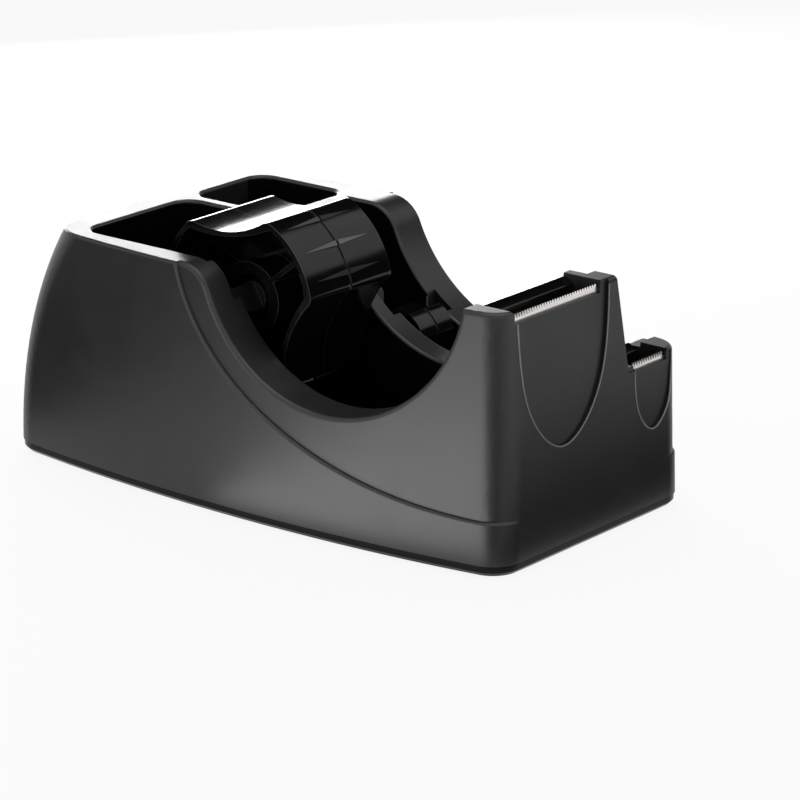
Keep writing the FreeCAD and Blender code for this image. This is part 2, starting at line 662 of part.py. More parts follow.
def make_housing():
    """The moulded housing: a skin over hollow walls, with the wells let down into it."""
    wall = size("shell_wall")
    inside = plan_solid(-REACH, TOP_LIMIT, wall, size("panel_step")).common(height_solid(wall))
    inside = round_rear(inside, wall)
    opened = outer_form().cut(open_wells(0.0)).removeSplitter()
    opened = opened.makeFillet(size("inner_edge_round"), inner_rims(opened))
    hollow = inside.cut(wells(wall))
    shell = opened.cut(hollow).cut(slots(0.0)).cut(rest_seats(0.0)).cut(sill_cuts())
    shell = shell.cut(relief("wide")).cut(relief("narrow")).cut(drawer_opening())
    low = size("desk_gap") + size("cover_plate")
    bosses = []
    pilots = []
    for x, y in boss_places():
        foot = point(x, y, low)
        bosses.append(Part.makeCylinder(size("boss_radius"), TOP_LIMIT, foot))
        pilots.append(Part.makeCylinder(size("screw_radius") - size("pilot_gap"),
                                        size("screw_length"), foot))
    columns = Part.makeCompound(bosses).common(inside.fuse(block(
        -size("body_length"), size("body_length"), -SIDE_LIMIT, SIDE_LIMIT, low, size("seam_z"))))
    columns = columns.cut(wells(0.5 * wall))
    return shell.fuse(columns).cut(Part.makeCompound(pilots)).removeSplitter()


# ---------------------------------------------------------------- pieces

NODES = []


def keep(piece, label):
    """Register a finished sub-part under its own name."""
    piece.Label = label
    NODES.append(piece)
    return piece


def shaped(label, shape):
    """A sub-part whose shape is worked out above from the sheet."""
    feature = doc.addObject("Part::Feature", label)
    feature.Shape = shape
    feature.Placement = FreeCAD.Placement()
    return keep(feature, label)


def bind(piece, **expressions):
    """Tie properties of an object to sheet expressions."""
    for name, expression in expressions.items():
        piece.setExpression(name.replace("__", "."), expression)
    return piece


def box_piece(name, x, y, z, length, width, height):
    """A box whose corner and sides are sheet expressions."""
    piece = doc.addObject("Part::Box", name)
    bind(piece, Length=length, Width=width, Height=height, Placement__Base__x=x,
         Placement__Base__y=y, Placement__Base__z=z)
    return piece


def disc_piece(name, x, y, z, radius, height):
    """An upright cylinder whose place and size are sheet expressions."""
    piece = doc.addObject("Part::Cylinder", name)
    bind(piece, Radius=radius, Height=height, Placement__Base__x=x,
         Placement__Base__y=y, Placement__Base__z=z)
    return piece


def cut_piece(name, base, tool):
    """One object cut by another."""
    piece = doc.addObject("Part::Cut", name)
    piece.Base = base
    piece.Tool = tool
    return piece


def joined(name, pieces):
    """Several touching objects made one solid."""
    piece = doc.addObject("Part::MultiFuse", name)
    piece.Shapes = pieces
    return piece


def grouped(name, pieces):
    """Several separate solids in one sub-part."""
    piece = doc.addObject("Part::Compound", name)
    piece.Links = pieces
    return piece


def origin_plane(body, role):
    for feature in body.Origin.OriginFeatures:
        if feature.Role == role:
            return feature
    raise LookupError(role)


def rectangle_sketch(body, name, role, low_u, high_u, low_v, high_v):
    """A rectangle on an origin plane, each side held by a sheet expression from the origin."""
    sketch = body.newObject("Sketcher::SketchObject", name)
    sketch.AttachmentSupport = [(origin_plane(body, role), "")]
    sketch.MapMode = "FlatFace"
    start = [(-5, -5), (5, -5), (5, 5), (-5, 5)]
    for index in range(4):
        a = start[index]
        b = start[(index + 1) % 4]
        sketch.addGeometry(Part.LineSegment(point(a[0], a[1], 0), point(b[0], b[1], 0)))
    for index in range(4):
        sketch.addConstraint(Sketcher.Constraint("Coincident", index, 2, (index + 1) % 4, 1))
    for index, kind in enumerate(("Horizontal", "Vertical", "Horizontal", "Vertical")):
        sketch.addConstraint(Sketcher.Constraint(kind, index))
    for kind, geometry, value, expression in (
            ("DistanceX", 0, -5.0, low_u), ("DistanceX", 1, 5.0, high_u),
            ("DistanceY", 0, -5.0, low_v), ("DistanceY", 2, 5.0, high_v)):
        number = sketch.addConstraint(Sketcher.Constraint(kind, -1, 1, geometry, 1, value))
        sketch.setExpression(f"Constraints[{number}]", expression)
    return sketch


def pad(body, name, sketch, length, low):
    """Pad a sketch by a length, then lift the whole body to its place."""
    feature = body.newObject("PartDesign::Pad", name)
    feature.Profile = sketch
    feature.setExpression("Length", length)
    sketch.setExpression("AttachmentOffset.Base.z", low)
    return feature


def make_base_cover():
    """The bottom cover: a tapered plate with a lip inside the housing, holes and pad recesses."""
    low = size("desk_gap")
    seam = size("seam_z")
    edge = size("seam_inset")
    gap = size("fit_gap")
    plate_top = low + size("cover_plate")
    half = size("body_length") / 2
    plate = plan_solid(low, seam - gap, edge, 0.0, edge - half)
    under = [e for e in plate.Edges if abs(e.CenterOfMass.z - low) < TOUCH]
    plate = plate.makeChamfer(size("cover_taper"), under)
    lip_out = size("shell_wall") + size("panel_step") + gap
    lip_in = lip_out + size("cover_lip")
    lip = plan_solid(low, seam + size("cover_lip_height"), lip_out, 0.0, lip_out - half)
    room = plan_solid(plate_top, seam + size("cover_lip_height") + CLEAR, lip_in, 0.0, lip_in - half)
    cover = plate.fuse(lip).cut(room)
    tools = [drawer_opening()]
    for x, y in boss_places():
        clear = size("boss_radius") + gap
        tools.append(Part.makeCylinder(clear, TOP_LIMIT, point(x, y, plate_top)))
        tools.append(Part.makeCylinder(size("screw_radius") + gap, TOP_LIMIT, point(x, y, 0)))
        tools.append(Part.makeCylinder(size("screw_head_radius") + gap, size("screw_head_height"),
                                       point(x, y, 0)))
    for x, y in pad_places():
        tools.append(Part.makeCylinder(size("pad_radius"), size("pad_height"), point(x, y, 0)))
    return cover.cut(Part.makeCompound(tools))


def pad_expressions():
    """Where the four rubber pads stand, front ones first, as sheet expressions."""
    x = "(sizes.body_length / 2 - sizes.pad_end_gap)"
    y = "(sizes.body_width / 2 - sizes.pad_side_gap)"
    return [(f"{end} * {x}", f"{side} * {y}") for end in (1, -1) for side in (-1, 1)]


def pad_places():
    """The same four places, worked out."""
    return [(value(x), value(y)) for x, y in pad_expressions()]


def blade_shape(kind):
    """A saw-toothed steel strip standing in the front wall."""
    gap = size("blade_end_gap")
    start = place(kind + "_cut_start") + gap
    end = place(kind + "_cut_end") - gap
    top = place(kind + "_sill_z") + size("blade_rise")
    low = top - size("blade_height")
    valley = top - size("tooth_height")
    front = seat_front_x(kind)
    count = max(3, round((end - start) / size("tooth_pitch")))
    pitch = (end - start) / count
    corners = [point(front, start, low), point(front, start, valley)]
    for tooth in range(count):
        corners.append(point(front, start + (tooth + 0.5) * pitch, top))
        corners.append(point(front, start + (tooth + 1) * pitch, valley))
    corners.append(point(front, end, low))
    corners.append(corners[0])
    return Part.Face(Part.makePolygon(corners)).extrude(point(-size("blade_thickness"), 0, 0))


def rest_shape(kind):
    """The tape rest: a rounded bar, a groove and a foot that backs the cutter."""
    gap = size("blade_end_gap")
    start = place(kind + "_cut_start") + gap
    end = place(kind + "_cut_end") - gap
    sill = place(kind + "_sill_z")
    base = sill - size("rest_depth")
    top = sill + size("rest_rise")
    rear = place("well_front_x")
    bar = rear + size("rest_bar")
    front = seat_front_x(kind) - size("blade_thickness")
    groove = sill - size("rest_groove")
    rim = size("rest_rim")
    corners = [point(rear, 0, base), point(front, 0, base), point(front, 0, groove),
               point(bar, 0, groove), point(bar, 0, top), point(rear, 0, top), point(rear, 0, base)]
    solid = extrude_y(Part.Face(Part.makePolygon(corners)), start, end)
    crest = [e for e in solid.Edges if abs(e.CenterOfMass.z - top) < TOUCH
             and abs(e.Vertexes[0].Y - e.Vertexes[1].Y) > CLEAR]
    return solid.makeFillet(rim, crest)


LOBES = 3
LOBE_STEP = 360.0 / LOBES
LOBE_END_THICKENING = 1.4                 # how much thicker the shell is beside a dip than round a lobe


def lobed_wire(x, z, radius, dip, spread, y):
    """Three round lobes joined by hollow dips, seen along Y."""
    edges = []
    for lobe in range(LOBES):
        start = size("core_first_angle") + LOBE_STEP * lobe + 0.5 * (size("core_lobe_angle") - spread)
        end = start + spread
        following = start + LOBE_STEP
        a = on_circle(x, z, radius, start, y)
        b = on_circle(x, z, radius, end, y)
        c = on_circle(x, z, radius, following, y)
        edges.append(arc(a, on_circle(x, z, radius, 0.5 * (start + end), y), b))
        edges.append(arc(b, on_circle(x, z, dip, 0.5 * (end + following), y), c))
    return Part.Wire(edges)


def lobed_solid(x, z, radius, dip, spread, y0, y1, corner):
    """The lobed shape as a prism, its six long corners rounded where there is a corner radius."""
    face = Part.Face(lobed_wire(x, z, radius, dip, spread, y0))
    solid = face.extrude(point(0, y1 - y0, 0))
    if corner <= 0:
        return solid
    along = [e for e in solid.Edges if isinstance(e.Curve, Part.Line)]
    return solid.makeFillet(corner, along)


def half_core(x, z, radius, dip, wall, corner, hub, bore, middle, length, setback, side):
    """One half of a lobed core: shell, middle web, hub tube and three spokes. side is -1 or +1."""
    spread = size("core_lobe_angle")
    outer = middle + side * length / 2
    low, high = sorted((middle, outer))
    shell = lobed_solid(x, z, radius, dip, spread, low, high, corner)
    lean = math.degrees(LOBE_END_THICKENING * wall / radius)
    inner = lobed_solid(x, z, radius - wall, dip - wall, spread - 2 * lean, low, high, corner - wall)
    web_low, web_high = sorted((middle, middle + side * size("core_web")))
    web = lobed_solid(x, z, radius - 0.5 * wall, dip - 0.5 * wall, spread - lean, web_low, web_high,
                      corner - 0.5 * wall)
    hub_low, hub_high = sorted((middle, outer - side * setback))
    post = Part.makeCylinder(hub, hub_high - hub_low, point(x, hub_low, z), point(0, 1, 0))
    solid = shell.cut(inner).fuse(web).fuse(post)
    spokes = []
    for lobe in range(3):
        angle = size("core_first_angle") + 0.5 * spread + 120.0 * lobe
        spoke = block(x, x + radius - 0.5 * wall, hub_low, hub_high,
                      z - 0.5 * size("spoke_wall"), z + 0.5 * size("spoke_wall"))
        spoke.rotate(point(x, 0, z), point(0, 1, 0), -angle)
        spokes.append(spoke)
    groove_low, groove_high = sorted((middle, middle + side * 0.5 * size("groove_width")))
    ring = tube(x, z, radius + 5, radius - size("groove_depth"), groove_low, groove_high)
    opening = Part.makeCylinder(bore, length, point(x, middle - length / 2, z), point(0, 1, 0))
    return solid.multiFuse(spokes).cut(opening).cut(ring)


def axle_shape(x, z, radius, start, end, keyed_start, keyed_end):
    """A round axle whose two ends are three-cornered, one side flat down."""
    rod = Part.makeCylinder(radius, keyed_end - keyed_start, point(x, keyed_start, z), point(0, 1, 0))
    corners = [on_circle(x, z, radius, turn, start) for turn in (90.0, 210.0, 330.0, 90.0)]
    key = Part.Face(Part.makePolygon(corners)).extrude(point(0, end - start, 0))
    return rod.fuse(key)


def make_large_core():
    """The large core: two snap-together halves on two bushes, and its axle."""
    x = place("core_x")
    z = place("core_z")
    middle = place("core_mid_y")
    bush_bore = size("axle_radius") + size("running_gap")
    for side, name in ((-1, "left"), (1, "right")):
        half = half_core(x, z, size("core_radius"), size("core_dip_radius"), size("core_wall"),
                         size("core_edge_round"), size("hub_radius"), size("hub_bore"), middle,
                         place("core_length"), size("hub_setback"), side)
        shaped(f"large_core_{name}_half", half)
        inner = middle + side * size("bush_setback")
        low, high = sorted((inner, inner + side * size("bush_length")))
        shaped(f"large_hub_bush_{name}",
               tube(x, z, size("hub_bore") - size("running_gap"), bush_bore, low, high))
    start = place("wide_outer_y") - size("slot_depth") + size("slot_end_gap")
    end = place("divider_left_y") + size("slot_depth") - size("slot_end_gap")
    keyed = place("core_length") / 2 - size("hub_setback") - size("axle_key_lap")
    shaped("large_axle", axle_shape(x, z, size("axle_radius"), start, end, middle - keyed, middle + keyed))


def make_small_core():
    """The small core: two halves that turn straight on their axle."""
    x = place("small_x")
    z = place("small_z")
    near = place("divider_right_y")
    far = place("narrow_outer_y")
    middle = place("small_mid_y")
    bore = size("small_axle_radius") + size("running_gap")
    for side, name in ((-1, "left"), (1, "right")):
        half = half_core(x, z, size("small_radius"), size("small_dip_radius"), size("small_wall"),
                         size("small_edge_round"), bore + size("small_wall"), bore, middle,
                         place("small_length"), 0.0, side)
        shaped(f"small_core_{name}_half", half)
    start = near - size("slot_depth") + size("slot_end_gap")
    end = far + size("slot_depth") - size("slot_end_gap")
    keyed = place("small_length") / 2
    shaped("small_axle",
           axle_shape(x, z, size("small_axle_radius"), start, end, middle - keyed, middle + keyed))


# the outer face of the drawer front lies just inside the leaning rear face, at the drawer's top
REAR_RISE = "(sizes.drawer_z + sizes.drawer_height - sizes.rear_lean_start)"
DRAWER_FACE = ("(sizes.rear_lean_radius - sizes.body_length / 2 + sizes.drawer_recess"
               f" - sqrt(sizes.rear_lean_radius ^ 2 - {REAR_RISE} ^ 2))")
# the tray ends a named gap short of the round floor of the wide bay
BAY_DEPTH = "(sizes.rear_top_z - sizes.core_drop - sizes.bay_floor_z + sizes.shell_wall)"
TRAY_DEPTH = ("(sizes.rear_top_z - sizes.core_drop - sizes.drawer_z - sizes.drawer_height"
              " + sizes.drawer_tray_drop)")
DRAWER_BACK = ("(sizes.body_length / 2 - sizes.core_reach - sizes.drawer_bay_gap"
               f" - sqrt({BAY_DEPTH} ^ 2 - {TRAY_DEPTH} ^ 2))")
DRAWER_TOP = "(sizes.drawer_z + sizes.drawer_height)"


def lay_along_x(piece):
    """Turn an upright cylinder so that it lies along X."""
    piece.Placement.Rotation = FreeCAD.Rotation(point(0, 1, 0), 90)
    return piece


def rod_piece(name, x, y, z, radius, length):
    """A cylinder lying along +X from a point, all sheet expressions."""
    return lay_along_x(disc_piece(name, x, y, z, radius, length))


def drawer_screw(number, side):
    """One drawer screw: a shank through both walls and a head inside the tray."""
    x = f"{DRAWER_FACE} + sizes.drawer_screw_cover"
    y = f"{side} * sizes.drawer_screw_y"
    z = "sizes.drawer_z + sizes.drawer_height / 2"
    walls = "(sizes.drawer_front_wall + sizes.drawer_wall)"
    shank = rod_piece(f"drawer_shank_{number}", x, y, z, "sizes.drawer_screw_radius",
                      f"{walls} - sizes.drawer_screw_cover")
    head = rod_piece(f"drawer_head_{number}", f"{DRAWER_FACE} + {walls}", y, z,
                     "sizes.drawer_screw_head_radius", "sizes.drawer_screw_head_height")
    return joined(f"drawer_screw_{number}", [shank, head])


def drawer_tools(name):
    """What is cut from the tray and the front alike: the finger notch and the screw holes."""
    tools = [rod_piece(f"{name}_notch", DRAWER_FACE, "0", DRAWER_TOP, "sizes.pull_radius",
                       "sizes.drawer_front_wall + sizes.drawer_wall")]
    for number, side in enumerate((-1, 1)):
        tools.append(rod_piece(f"{name}_hole_{number}", f"{DRAWER_FACE} + sizes.drawer_screw_cover",
                               f"{side} * sizes.drawer_screw_y", "sizes.drawer_z + sizes.drawer_height / 2",
                               "sizes.drawer_screw_radius",
                               "sizes.drawer_front_wall + sizes.drawer_wall"))
    return joined(f"{name}_tools", tools)


def make_drawer():
    """The drawer: an open tray, a clipped front with a finger notch, and two screws."""
    front = "sizes.drawer_front_wall"
    wall = "sizes.drawer_wall"
    width = "sizes.drawer_width"
    length = f"{DRAWER_BACK} - {DRAWER_FACE} - {front}"
    body = box_piece("tray_block", f"{DRAWER_FACE} + {front}", f"-{width} / 2", "sizes.drawer_z",
                     length, width, "sizes.drawer_height - sizes.drawer_tray_drop")
    room = box_piece("tray_room", f"{DRAWER_FACE} + {front} + {wall}", f"{wall} - {width} / 2",
                     f"sizes.drawer_z + {wall}", f"{length} - 2 * {wall}",
                     f"{width} - 2 * {wall}", "sizes.drawer_height")
    open_tray = cut_piece("tray_open", body, room)
    keep(cut_piece("tray_cut", open_tray, drawer_tools("tray")), "drawer_tray")
    panel = box_piece("front_block", DRAWER_FACE, f"-({width} / 2 + {front})",
                      "sizes.drawer_z - sizes.drawer_gap", front, f"{width} + 2 * {front}",
                      "sizes.drawer_height + sizes.drawer_gap")
    keep(cut_piece("front_cut", panel, drawer_tools("front")), "drawer_front")
    screws = [drawer_screw(number, side) for number, side in enumerate((-1, 1))]
    keep(grouped("drawer_screw_set", screws), "drawer_front_screws")


def make_runners():
    """Two channel rails that stand on the base cover, either side of the drawer."""
    start = f"{DRAWER_FACE} + sizes.drawer_front_wall + sizes.runner_setback"
    run = f"{DRAWER_BACK} + sizes.runner_overrun - ({start})"
    low = "sizes.desk_gap + sizes.cover_plate"
    inner = "(sizes.drawer_width / 2 + sizes.drawer_gap)"
    fence_height = f"sizes.drawer_z + sizes.runner_height - ({low})"
    shelf_height = f"sizes.drawer_z - sizes.slide_gap - ({low})"
    sides = {"right": (f"-{inner} - sizes.runner_wall", f"-{inner}"),
             "left": (inner, f"{inner} - sizes.runner_shelf")}
    for name, (fence_y, shelf_y) in sides.items():
        fence = box_piece(f"fence_{name}", start, fence_y, low, run, "sizes.runner_wall", fence_height)
        shelf = box_piece(f"shelf_{name}", start, shelf_y, low, run, "sizes.runner_shelf", shelf_height)
        keep(joined(f"runner_{name}", [fence, shelf]), f"drawer_runner_{name}")


def make_ballast():
    """The cast ballast slab that lies on the base cover under the bays."""
    body = doc.addObject("PartDesign::Body", "ballast_body")
    half_width = "(sizes.body_width / 2 - sizes.ballast_side_gap)"
    sketch = rectangle_sketch(body, "ballast_outline", "XY_Plane",
                              f"{DRAWER_BACK} + sizes.ballast_drawer_gap",
                              "sizes.body_length / 2 - sizes.ballast_front_gap",
                              f"-{half_width}", half_width)
    pad(body, "ballast_pad", sketch, "sizes.ballast_height",
        "sizes.desk_gap + sizes.cover_plate + sizes.fit_gap")
    keep(body, "ballast_slab")


def make_pads():
    """Four rubber pads pressed into the base cover."""
    names = ("front_left", "front_right", "rear_left", "rear_right")
    for name, (x, y) in zip(names, pad_expressions()):
        piece = disc_piece(f"disc_{name}", x, y, "0", "sizes.pad_radius - sizes.pad_fit", "sizes.pad_height")
        keep(piece, f"foot_pad_{name}")


def make_screws():
    """Six base screws, each a shank and a flat head, driven up through the cover."""
    screws = []
    for number, (x, y) in enumerate(boss_expressions()):
        shank = disc_piece(f"shank_{number}", x, y, "sizes.desk_gap",
                           "sizes.screw_radius", "sizes.screw_length")
        head = disc_piece(f"head_{number}", x, y, "sizes.desk_gap",
                          "sizes.screw_head_radius", "sizes.screw_head_height - sizes.desk_gap")
        screws.append(joined(f"screw_{number}", [shank, head]))
    keep(grouped("screw_set", screws), "base_screws")


def build_all():
    shaped("housing_shell", make_housing())
    shaped("base_cover", make_base_cover())
    make_ballast()
    make_pads()
    make_screws()
    for kind in ("wide", "narrow"):
        shaped(f"{kind}_blade", blade_shape(kind))
        shaped(f"{kind}_tape_rest", rest_shape(kind))
    make_large_core()
    make_small_core()
    make_drawer()
    make_runners()
    doc.recompute()


def check_all():
    """Stop before writing anything if an object failed or a shape is unsound."""
    for item in doc.Objects:
        if "Invalid" in item.State or "Error" in item.State:
            raise RuntimeError(f"{item.Name} failed: {item.State}")
    for piece in NODES:
        if piece.Shape.isNull() or not piece.Shape.isValid():
            raise RuntimeError(f"{piece.Label} has no sound shape")


def write_all():
    os.makedirs("parts", exist_ok=True)
    for piece in NODES:
        piece.Shape.exportStep(f"parts/{piece.Label}.step")
        box = piece.Shape.BoundBox
        print(f"{piece.Label:26s} solids {len(piece.Shape.Solids)}"
              f"  volume {piece.Shape.Volume / 1000:8.2f} cm3"
              f"  x {box.XMin:7.1f} {box.XMax:7.1f}  y {box.YMin:6.1f} {box.YMax:6.1f}"
              f"  z {box.ZMin:6.1f} {box.ZMax:6.1f}")


build_all()
check_all()
write_all()
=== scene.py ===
import math

import bmesh
import bpy
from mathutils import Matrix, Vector


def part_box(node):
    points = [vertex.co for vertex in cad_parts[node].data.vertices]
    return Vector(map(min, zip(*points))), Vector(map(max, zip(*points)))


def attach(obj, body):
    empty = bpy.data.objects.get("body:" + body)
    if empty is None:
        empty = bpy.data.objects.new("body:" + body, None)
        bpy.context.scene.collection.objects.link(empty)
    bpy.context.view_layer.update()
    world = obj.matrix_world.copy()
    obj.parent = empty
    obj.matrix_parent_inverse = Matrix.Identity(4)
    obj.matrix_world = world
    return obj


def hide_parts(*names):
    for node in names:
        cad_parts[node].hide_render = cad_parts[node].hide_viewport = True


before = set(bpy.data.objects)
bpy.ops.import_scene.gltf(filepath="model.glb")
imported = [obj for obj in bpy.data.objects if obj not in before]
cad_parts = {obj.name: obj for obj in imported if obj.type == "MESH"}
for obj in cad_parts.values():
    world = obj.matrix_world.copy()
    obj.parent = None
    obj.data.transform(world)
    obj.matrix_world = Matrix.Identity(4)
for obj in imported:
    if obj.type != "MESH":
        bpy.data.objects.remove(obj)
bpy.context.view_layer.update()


# ---------------------------------------------------------------- studio
# A white sweep with soft boxes round it: one on the left for the long side, a low one behind for
# the tops and the hollows of the core, one overhead, a strip for the corner and a table of light
# in front. Black flags keep the sweep out of the gloss where the plastic has to stay deep.

def linked(name, data):
    """A new object in the scene for a camera, a lamp or a mesh."""
    thing = bpy.data.objects.new(name, data)
    bpy.context.scene.collection.objects.link(thing)
    return thing


def aim(thing, place, target):
    """Put a lamp or camera at a place and turn it to its target."""
    thing.location = place
    thing.rotation_euler = (Vector(target) - Vector(place)).to_track_quat("-Z", "Y").to_euler()


def from_angles(azimuth, elevation, distance, target):
    """A place seen from the target at an azimuth (0 is -Y, 90 is +X) and elevation in degrees."""
    turn = math.radians(azimuth)
    lift = math.radians(elevation)
    back = Vector((math.sin(turn) * math.cos(lift), -math.cos(turn) * math.cos(lift), math.sin(lift)))
    return Vector(target) + back * distance


camera_target = (0.06415, -0.04209, 0.055)
camera_azimuth = 38.907
camera_elevation = 17.985
camera_distance = 1.55868
camera = linked("camera", bpy.data.cameras.new("camera"))
camera.data.sensor_width = 36.0
camera.data.lens = 183.6
camera.data.clip_start = 0.05
camera.data.clip_end = 20.0
aim(camera, from_angles(camera_azimuth, camera_elevation, camera_distance, camera_target), camera_target)
bpy.context.scene.camera = camera
bpy.context.scene.view_settings.view_transform = "Standard"


def soft_box(name, place, target, width, height, power):
    """A rectangular soft box."""
    lamp = bpy.data.lights.new(name, "AREA")
    lamp.shape = "RECTANGLE"
    lamp.size = width
    lamp.size_y = height
    lamp.energy = power
    box = linked(name, lamp)
    box.visible_camera = False
    aim(box, place, target)


middle = (0.0, 0.0, 0.05)
soft_box("side_box", (-0.08, -0.95, 0.16), (0.05, -0.07, 0.06), width=0.30, height=0.30, power=0.8)
soft_box("back_box", (-0.636, 0.437, 0.20), (-0.06, 0.0, 0.09), width=0.62, height=0.18, power=6.2)
soft_box("top_box", (0.1, 0.0, 1.3), middle, width=0.9, height=0.9, power=4.0)
soft_box("corner_strip", from_angles(91.0, 6.0, 0.7, middle), middle, width=0.10, height=0.5, power=0.5)
soft_box("light_table", (0.055, -0.25, 0.002), (0.055, -0.25, 1.0), width=0.15, height=0.335, power=0.56)


def flag(name, corners):
    """A black card that only shows in the gloss of the object."""
    mesh = bpy.data.meshes.new(name)
    mesh.from_pydata(corners, [], [(0, 1, 2, 3)])
    card = linked(name, mesh)
    black = bpy.data.materials.new(name)
    black.use_nodes = True
    shader = black.node_tree.nodes["Principled BSDF"]
    shader.inputs["Base Color"].default_value = (0.01, 0.01, 0.01, 1.0)
    shader.inputs["Specular IOR Level"].default_value = 0.0
    mesh.materials.append(black)
    card.visible_camera = False
    card.visible_diffuse = False
    card.visible_transmission = False
    card.visible_shadow = False


def lying_flag(name, *corners):
    """A flag lying just over the sweep, by its four corners in plan."""
    card_thickness = 0.0015
    flag(name, [(x, y, card_thickness) for x, y in corners])


def standing_flag(name, one, two, low, high):
    """An upright flag between two points in plan and two heights."""
    flag(name, [(*one, low), (*two, low), (*two, high), (*one, high)])


lying_flag("rear_flag", (-0.60, -0.80), (-0.15, -0.80), (-0.15, -0.075), (-0.60, -0.075))
lying_flag("front_flag", (0.135, -0.07), (0.22, -0.07), (0.22, 0.18), (0.135, 0.18))
lying_flag("corner_flag", (0.130, -0.082), (0.185, -0.46), (0.46, -0.27), (0.150, -0.072))
standing_flag("far_flag", (0.75, 0.35), (0.05, 0.95), 0.0, 0.34)
standing_flag("sky_flag", (-1.75, -0.10), (0.10, 1.40), 0.44, 1.8)


def see_white(tree, seen, plain):
    """White for camera, mirror and transmission rays, and the plain shader for the rest."""
    path = tree.nodes.new("ShaderNodeLightPath")
    either = tree.nodes.new("ShaderNodeMath")
    either.operation = "MAXIMUM"
    most = tree.nodes.new("ShaderNodeMath")
    most.operation = "MAXIMUM"
    mix = tree.nodes.new("ShaderNodeMixShader")
    tree.links.new(path.outputs["Is Camera Ray"], either.inputs[0])
    tree.links.new(path.outputs["Is Glossy Ray"], either.inputs[1])
    tree.links.new(either.outputs[0], most.inputs[0])
    tree.links.new(path.outputs["Is Transmission Ray"], most.inputs[1])
    tree.links.new(most.outputs[0], mix.inputs[0])
    tree.links.new(plain.outputs[0], mix.inputs[1])
    tree.links.new(seen.outputs[0], mix.inputs[2])
    return mix.outputs[0]


white = (1.0, 1.0, 1.0, 1.0)
world = bpy.data.worlds.new("white_room")
world.use_nodes = True
bpy.context.scene.world = world
room_light = world.node_tree.nodes["Background"]
room_light.inputs["Color"].default_value = white
room_light.inputs["Strength"].default_value = 0.35
seen_room = world.node_tree.nodes.new("ShaderNodeBackground")
seen_room.inputs["Color"].default_value = white
seen_room.inputs["Strength"].default_value = 1.0
world.node_tree.links.new(see_white(world.node_tree, seen_room, room_light),
                          world.node_tree.nodes["World Output"].inputs["Surface"])

floor_half = 4.0
floor_mesh = bpy.data.meshes.new("floor")
floor_mesh.from_pydata([(-floor_half, -floor_half, 0), (floor_half, -floor_half, 0),
                        (floor_half, floor_half, 0), (-floor_half, floor_half, 0)], [], [(0, 1, 2, 3)])
floor = linked("floor", floor_mesh)
sweep_paint = bpy.data.materials.new("white_sweep")
sweep_paint.use_nodes = True
sweep_tree = sweep_paint.node_tree
sweep_shader = sweep_tree.nodes["Principled BSDF"]
sweep_shader.inputs["Base Color"].default_value = white
sweep_shader.inputs["Roughness"].default_value = 0.9
sweep_shader.inputs["Specular IOR Level"].default_value = 0.0
own_white = sweep_tree.nodes.new("ShaderNodeEmission")
own_white.inputs["Strength"].default_value = 1.0
own_white_share = 0.9
seen_sweep = sweep_tree.nodes.new("ShaderNodeMixShader")
seen_sweep.inputs[0].default_value = own_white_share
sweep_tree.links.new(sweep_shader.outputs[0], seen_sweep.inputs[1])
sweep_tree.links.new(own_white.outputs[0], seen_sweep.inputs[2])
sweep_tree.links.new(see_white(sweep_tree, seen_sweep, sweep_shader),
                     sweep_tree.nodes["Material Output"].inputs["Surface"])
floor_mesh.materials.append(sweep_paint)


# ---------------------------------------------------------------- housing
# One large injection moulding in black plastic, open from below: spark-textured to a satin outside
# and polished inside the bays, the tray and the pocket, where a darker colour and a weaker reflection
# are painted shade. Each edge has the small round of the mould, and a fine bead runs round the two
# reliefs in the front face, its lighter colour a painted highlight.

def new_material(name):
    """A node material, its tree and its principled shader."""
    material = bpy.data.materials.new(name)
    material.use_nodes = True
    return material, material.node_tree, material.node_tree.nodes["Principled BSDF"]


def noise(tree, scale, detail=2.0, stretch=(1.0, 1.0, 1.0)):
    """Noise on the object's own coordinates, its grain given as cells to the metre."""
    place = tree.nodes.new("ShaderNodeTexCoord")
    mapping = tree.nodes.new("ShaderNodeMapping")
    mapping.inputs["Scale"].default_value = stretch
    texture = tree.nodes.new("ShaderNodeTexNoise")
    texture.inputs["Scale"].default_value = scale
    texture.inputs["Detail"].default_value = detail
    tree.links.new(place.outputs["Object"], mapping.inputs["Vector"])
    tree.links.new(mapping.outputs["Vector"], texture.inputs["Vector"])
    return texture.outputs["Fac"]


def spread(tree, value, low, high):
    """Stretch the middle of a noise between two values."""
    remap = tree.nodes.new("ShaderNodeMapRange")
    remap.inputs["From Min"].default_value = 0.35
    remap.inputs["From Max"].default_value = 0.65
    remap.inputs["To Min"].default_value = low
    remap.inputs["To Max"].default_value = high
    tree.links.new(value, remap.inputs["Value"])
    return remap.outputs["Result"]


def blend_colours(tree, factor, one, two):
    """Mix two colours by a factor."""
    mix = tree.nodes.new("ShaderNodeMix")
    mix.data_type = "RGBA"
    mix.inputs["A"].default_value = (*one, 1.0)
    mix.inputs["B"].default_value = (*two, 1.0)
    tree.links.new(factor, mix.inputs["Factor"])
    return mix.outputs["Result"]


def add_bump(tree, shader, height, depth):
    """Raise the surface by a height field, its depth in metres."""
    bump = tree.nodes.new("ShaderNodeBump")
    bump.inputs["Distance"].default_value = depth
    tree.links.new(height, bump.inputs["Height"])
    tree.links.new(bump.outputs["Normal"], shader.inputs["Normal"])


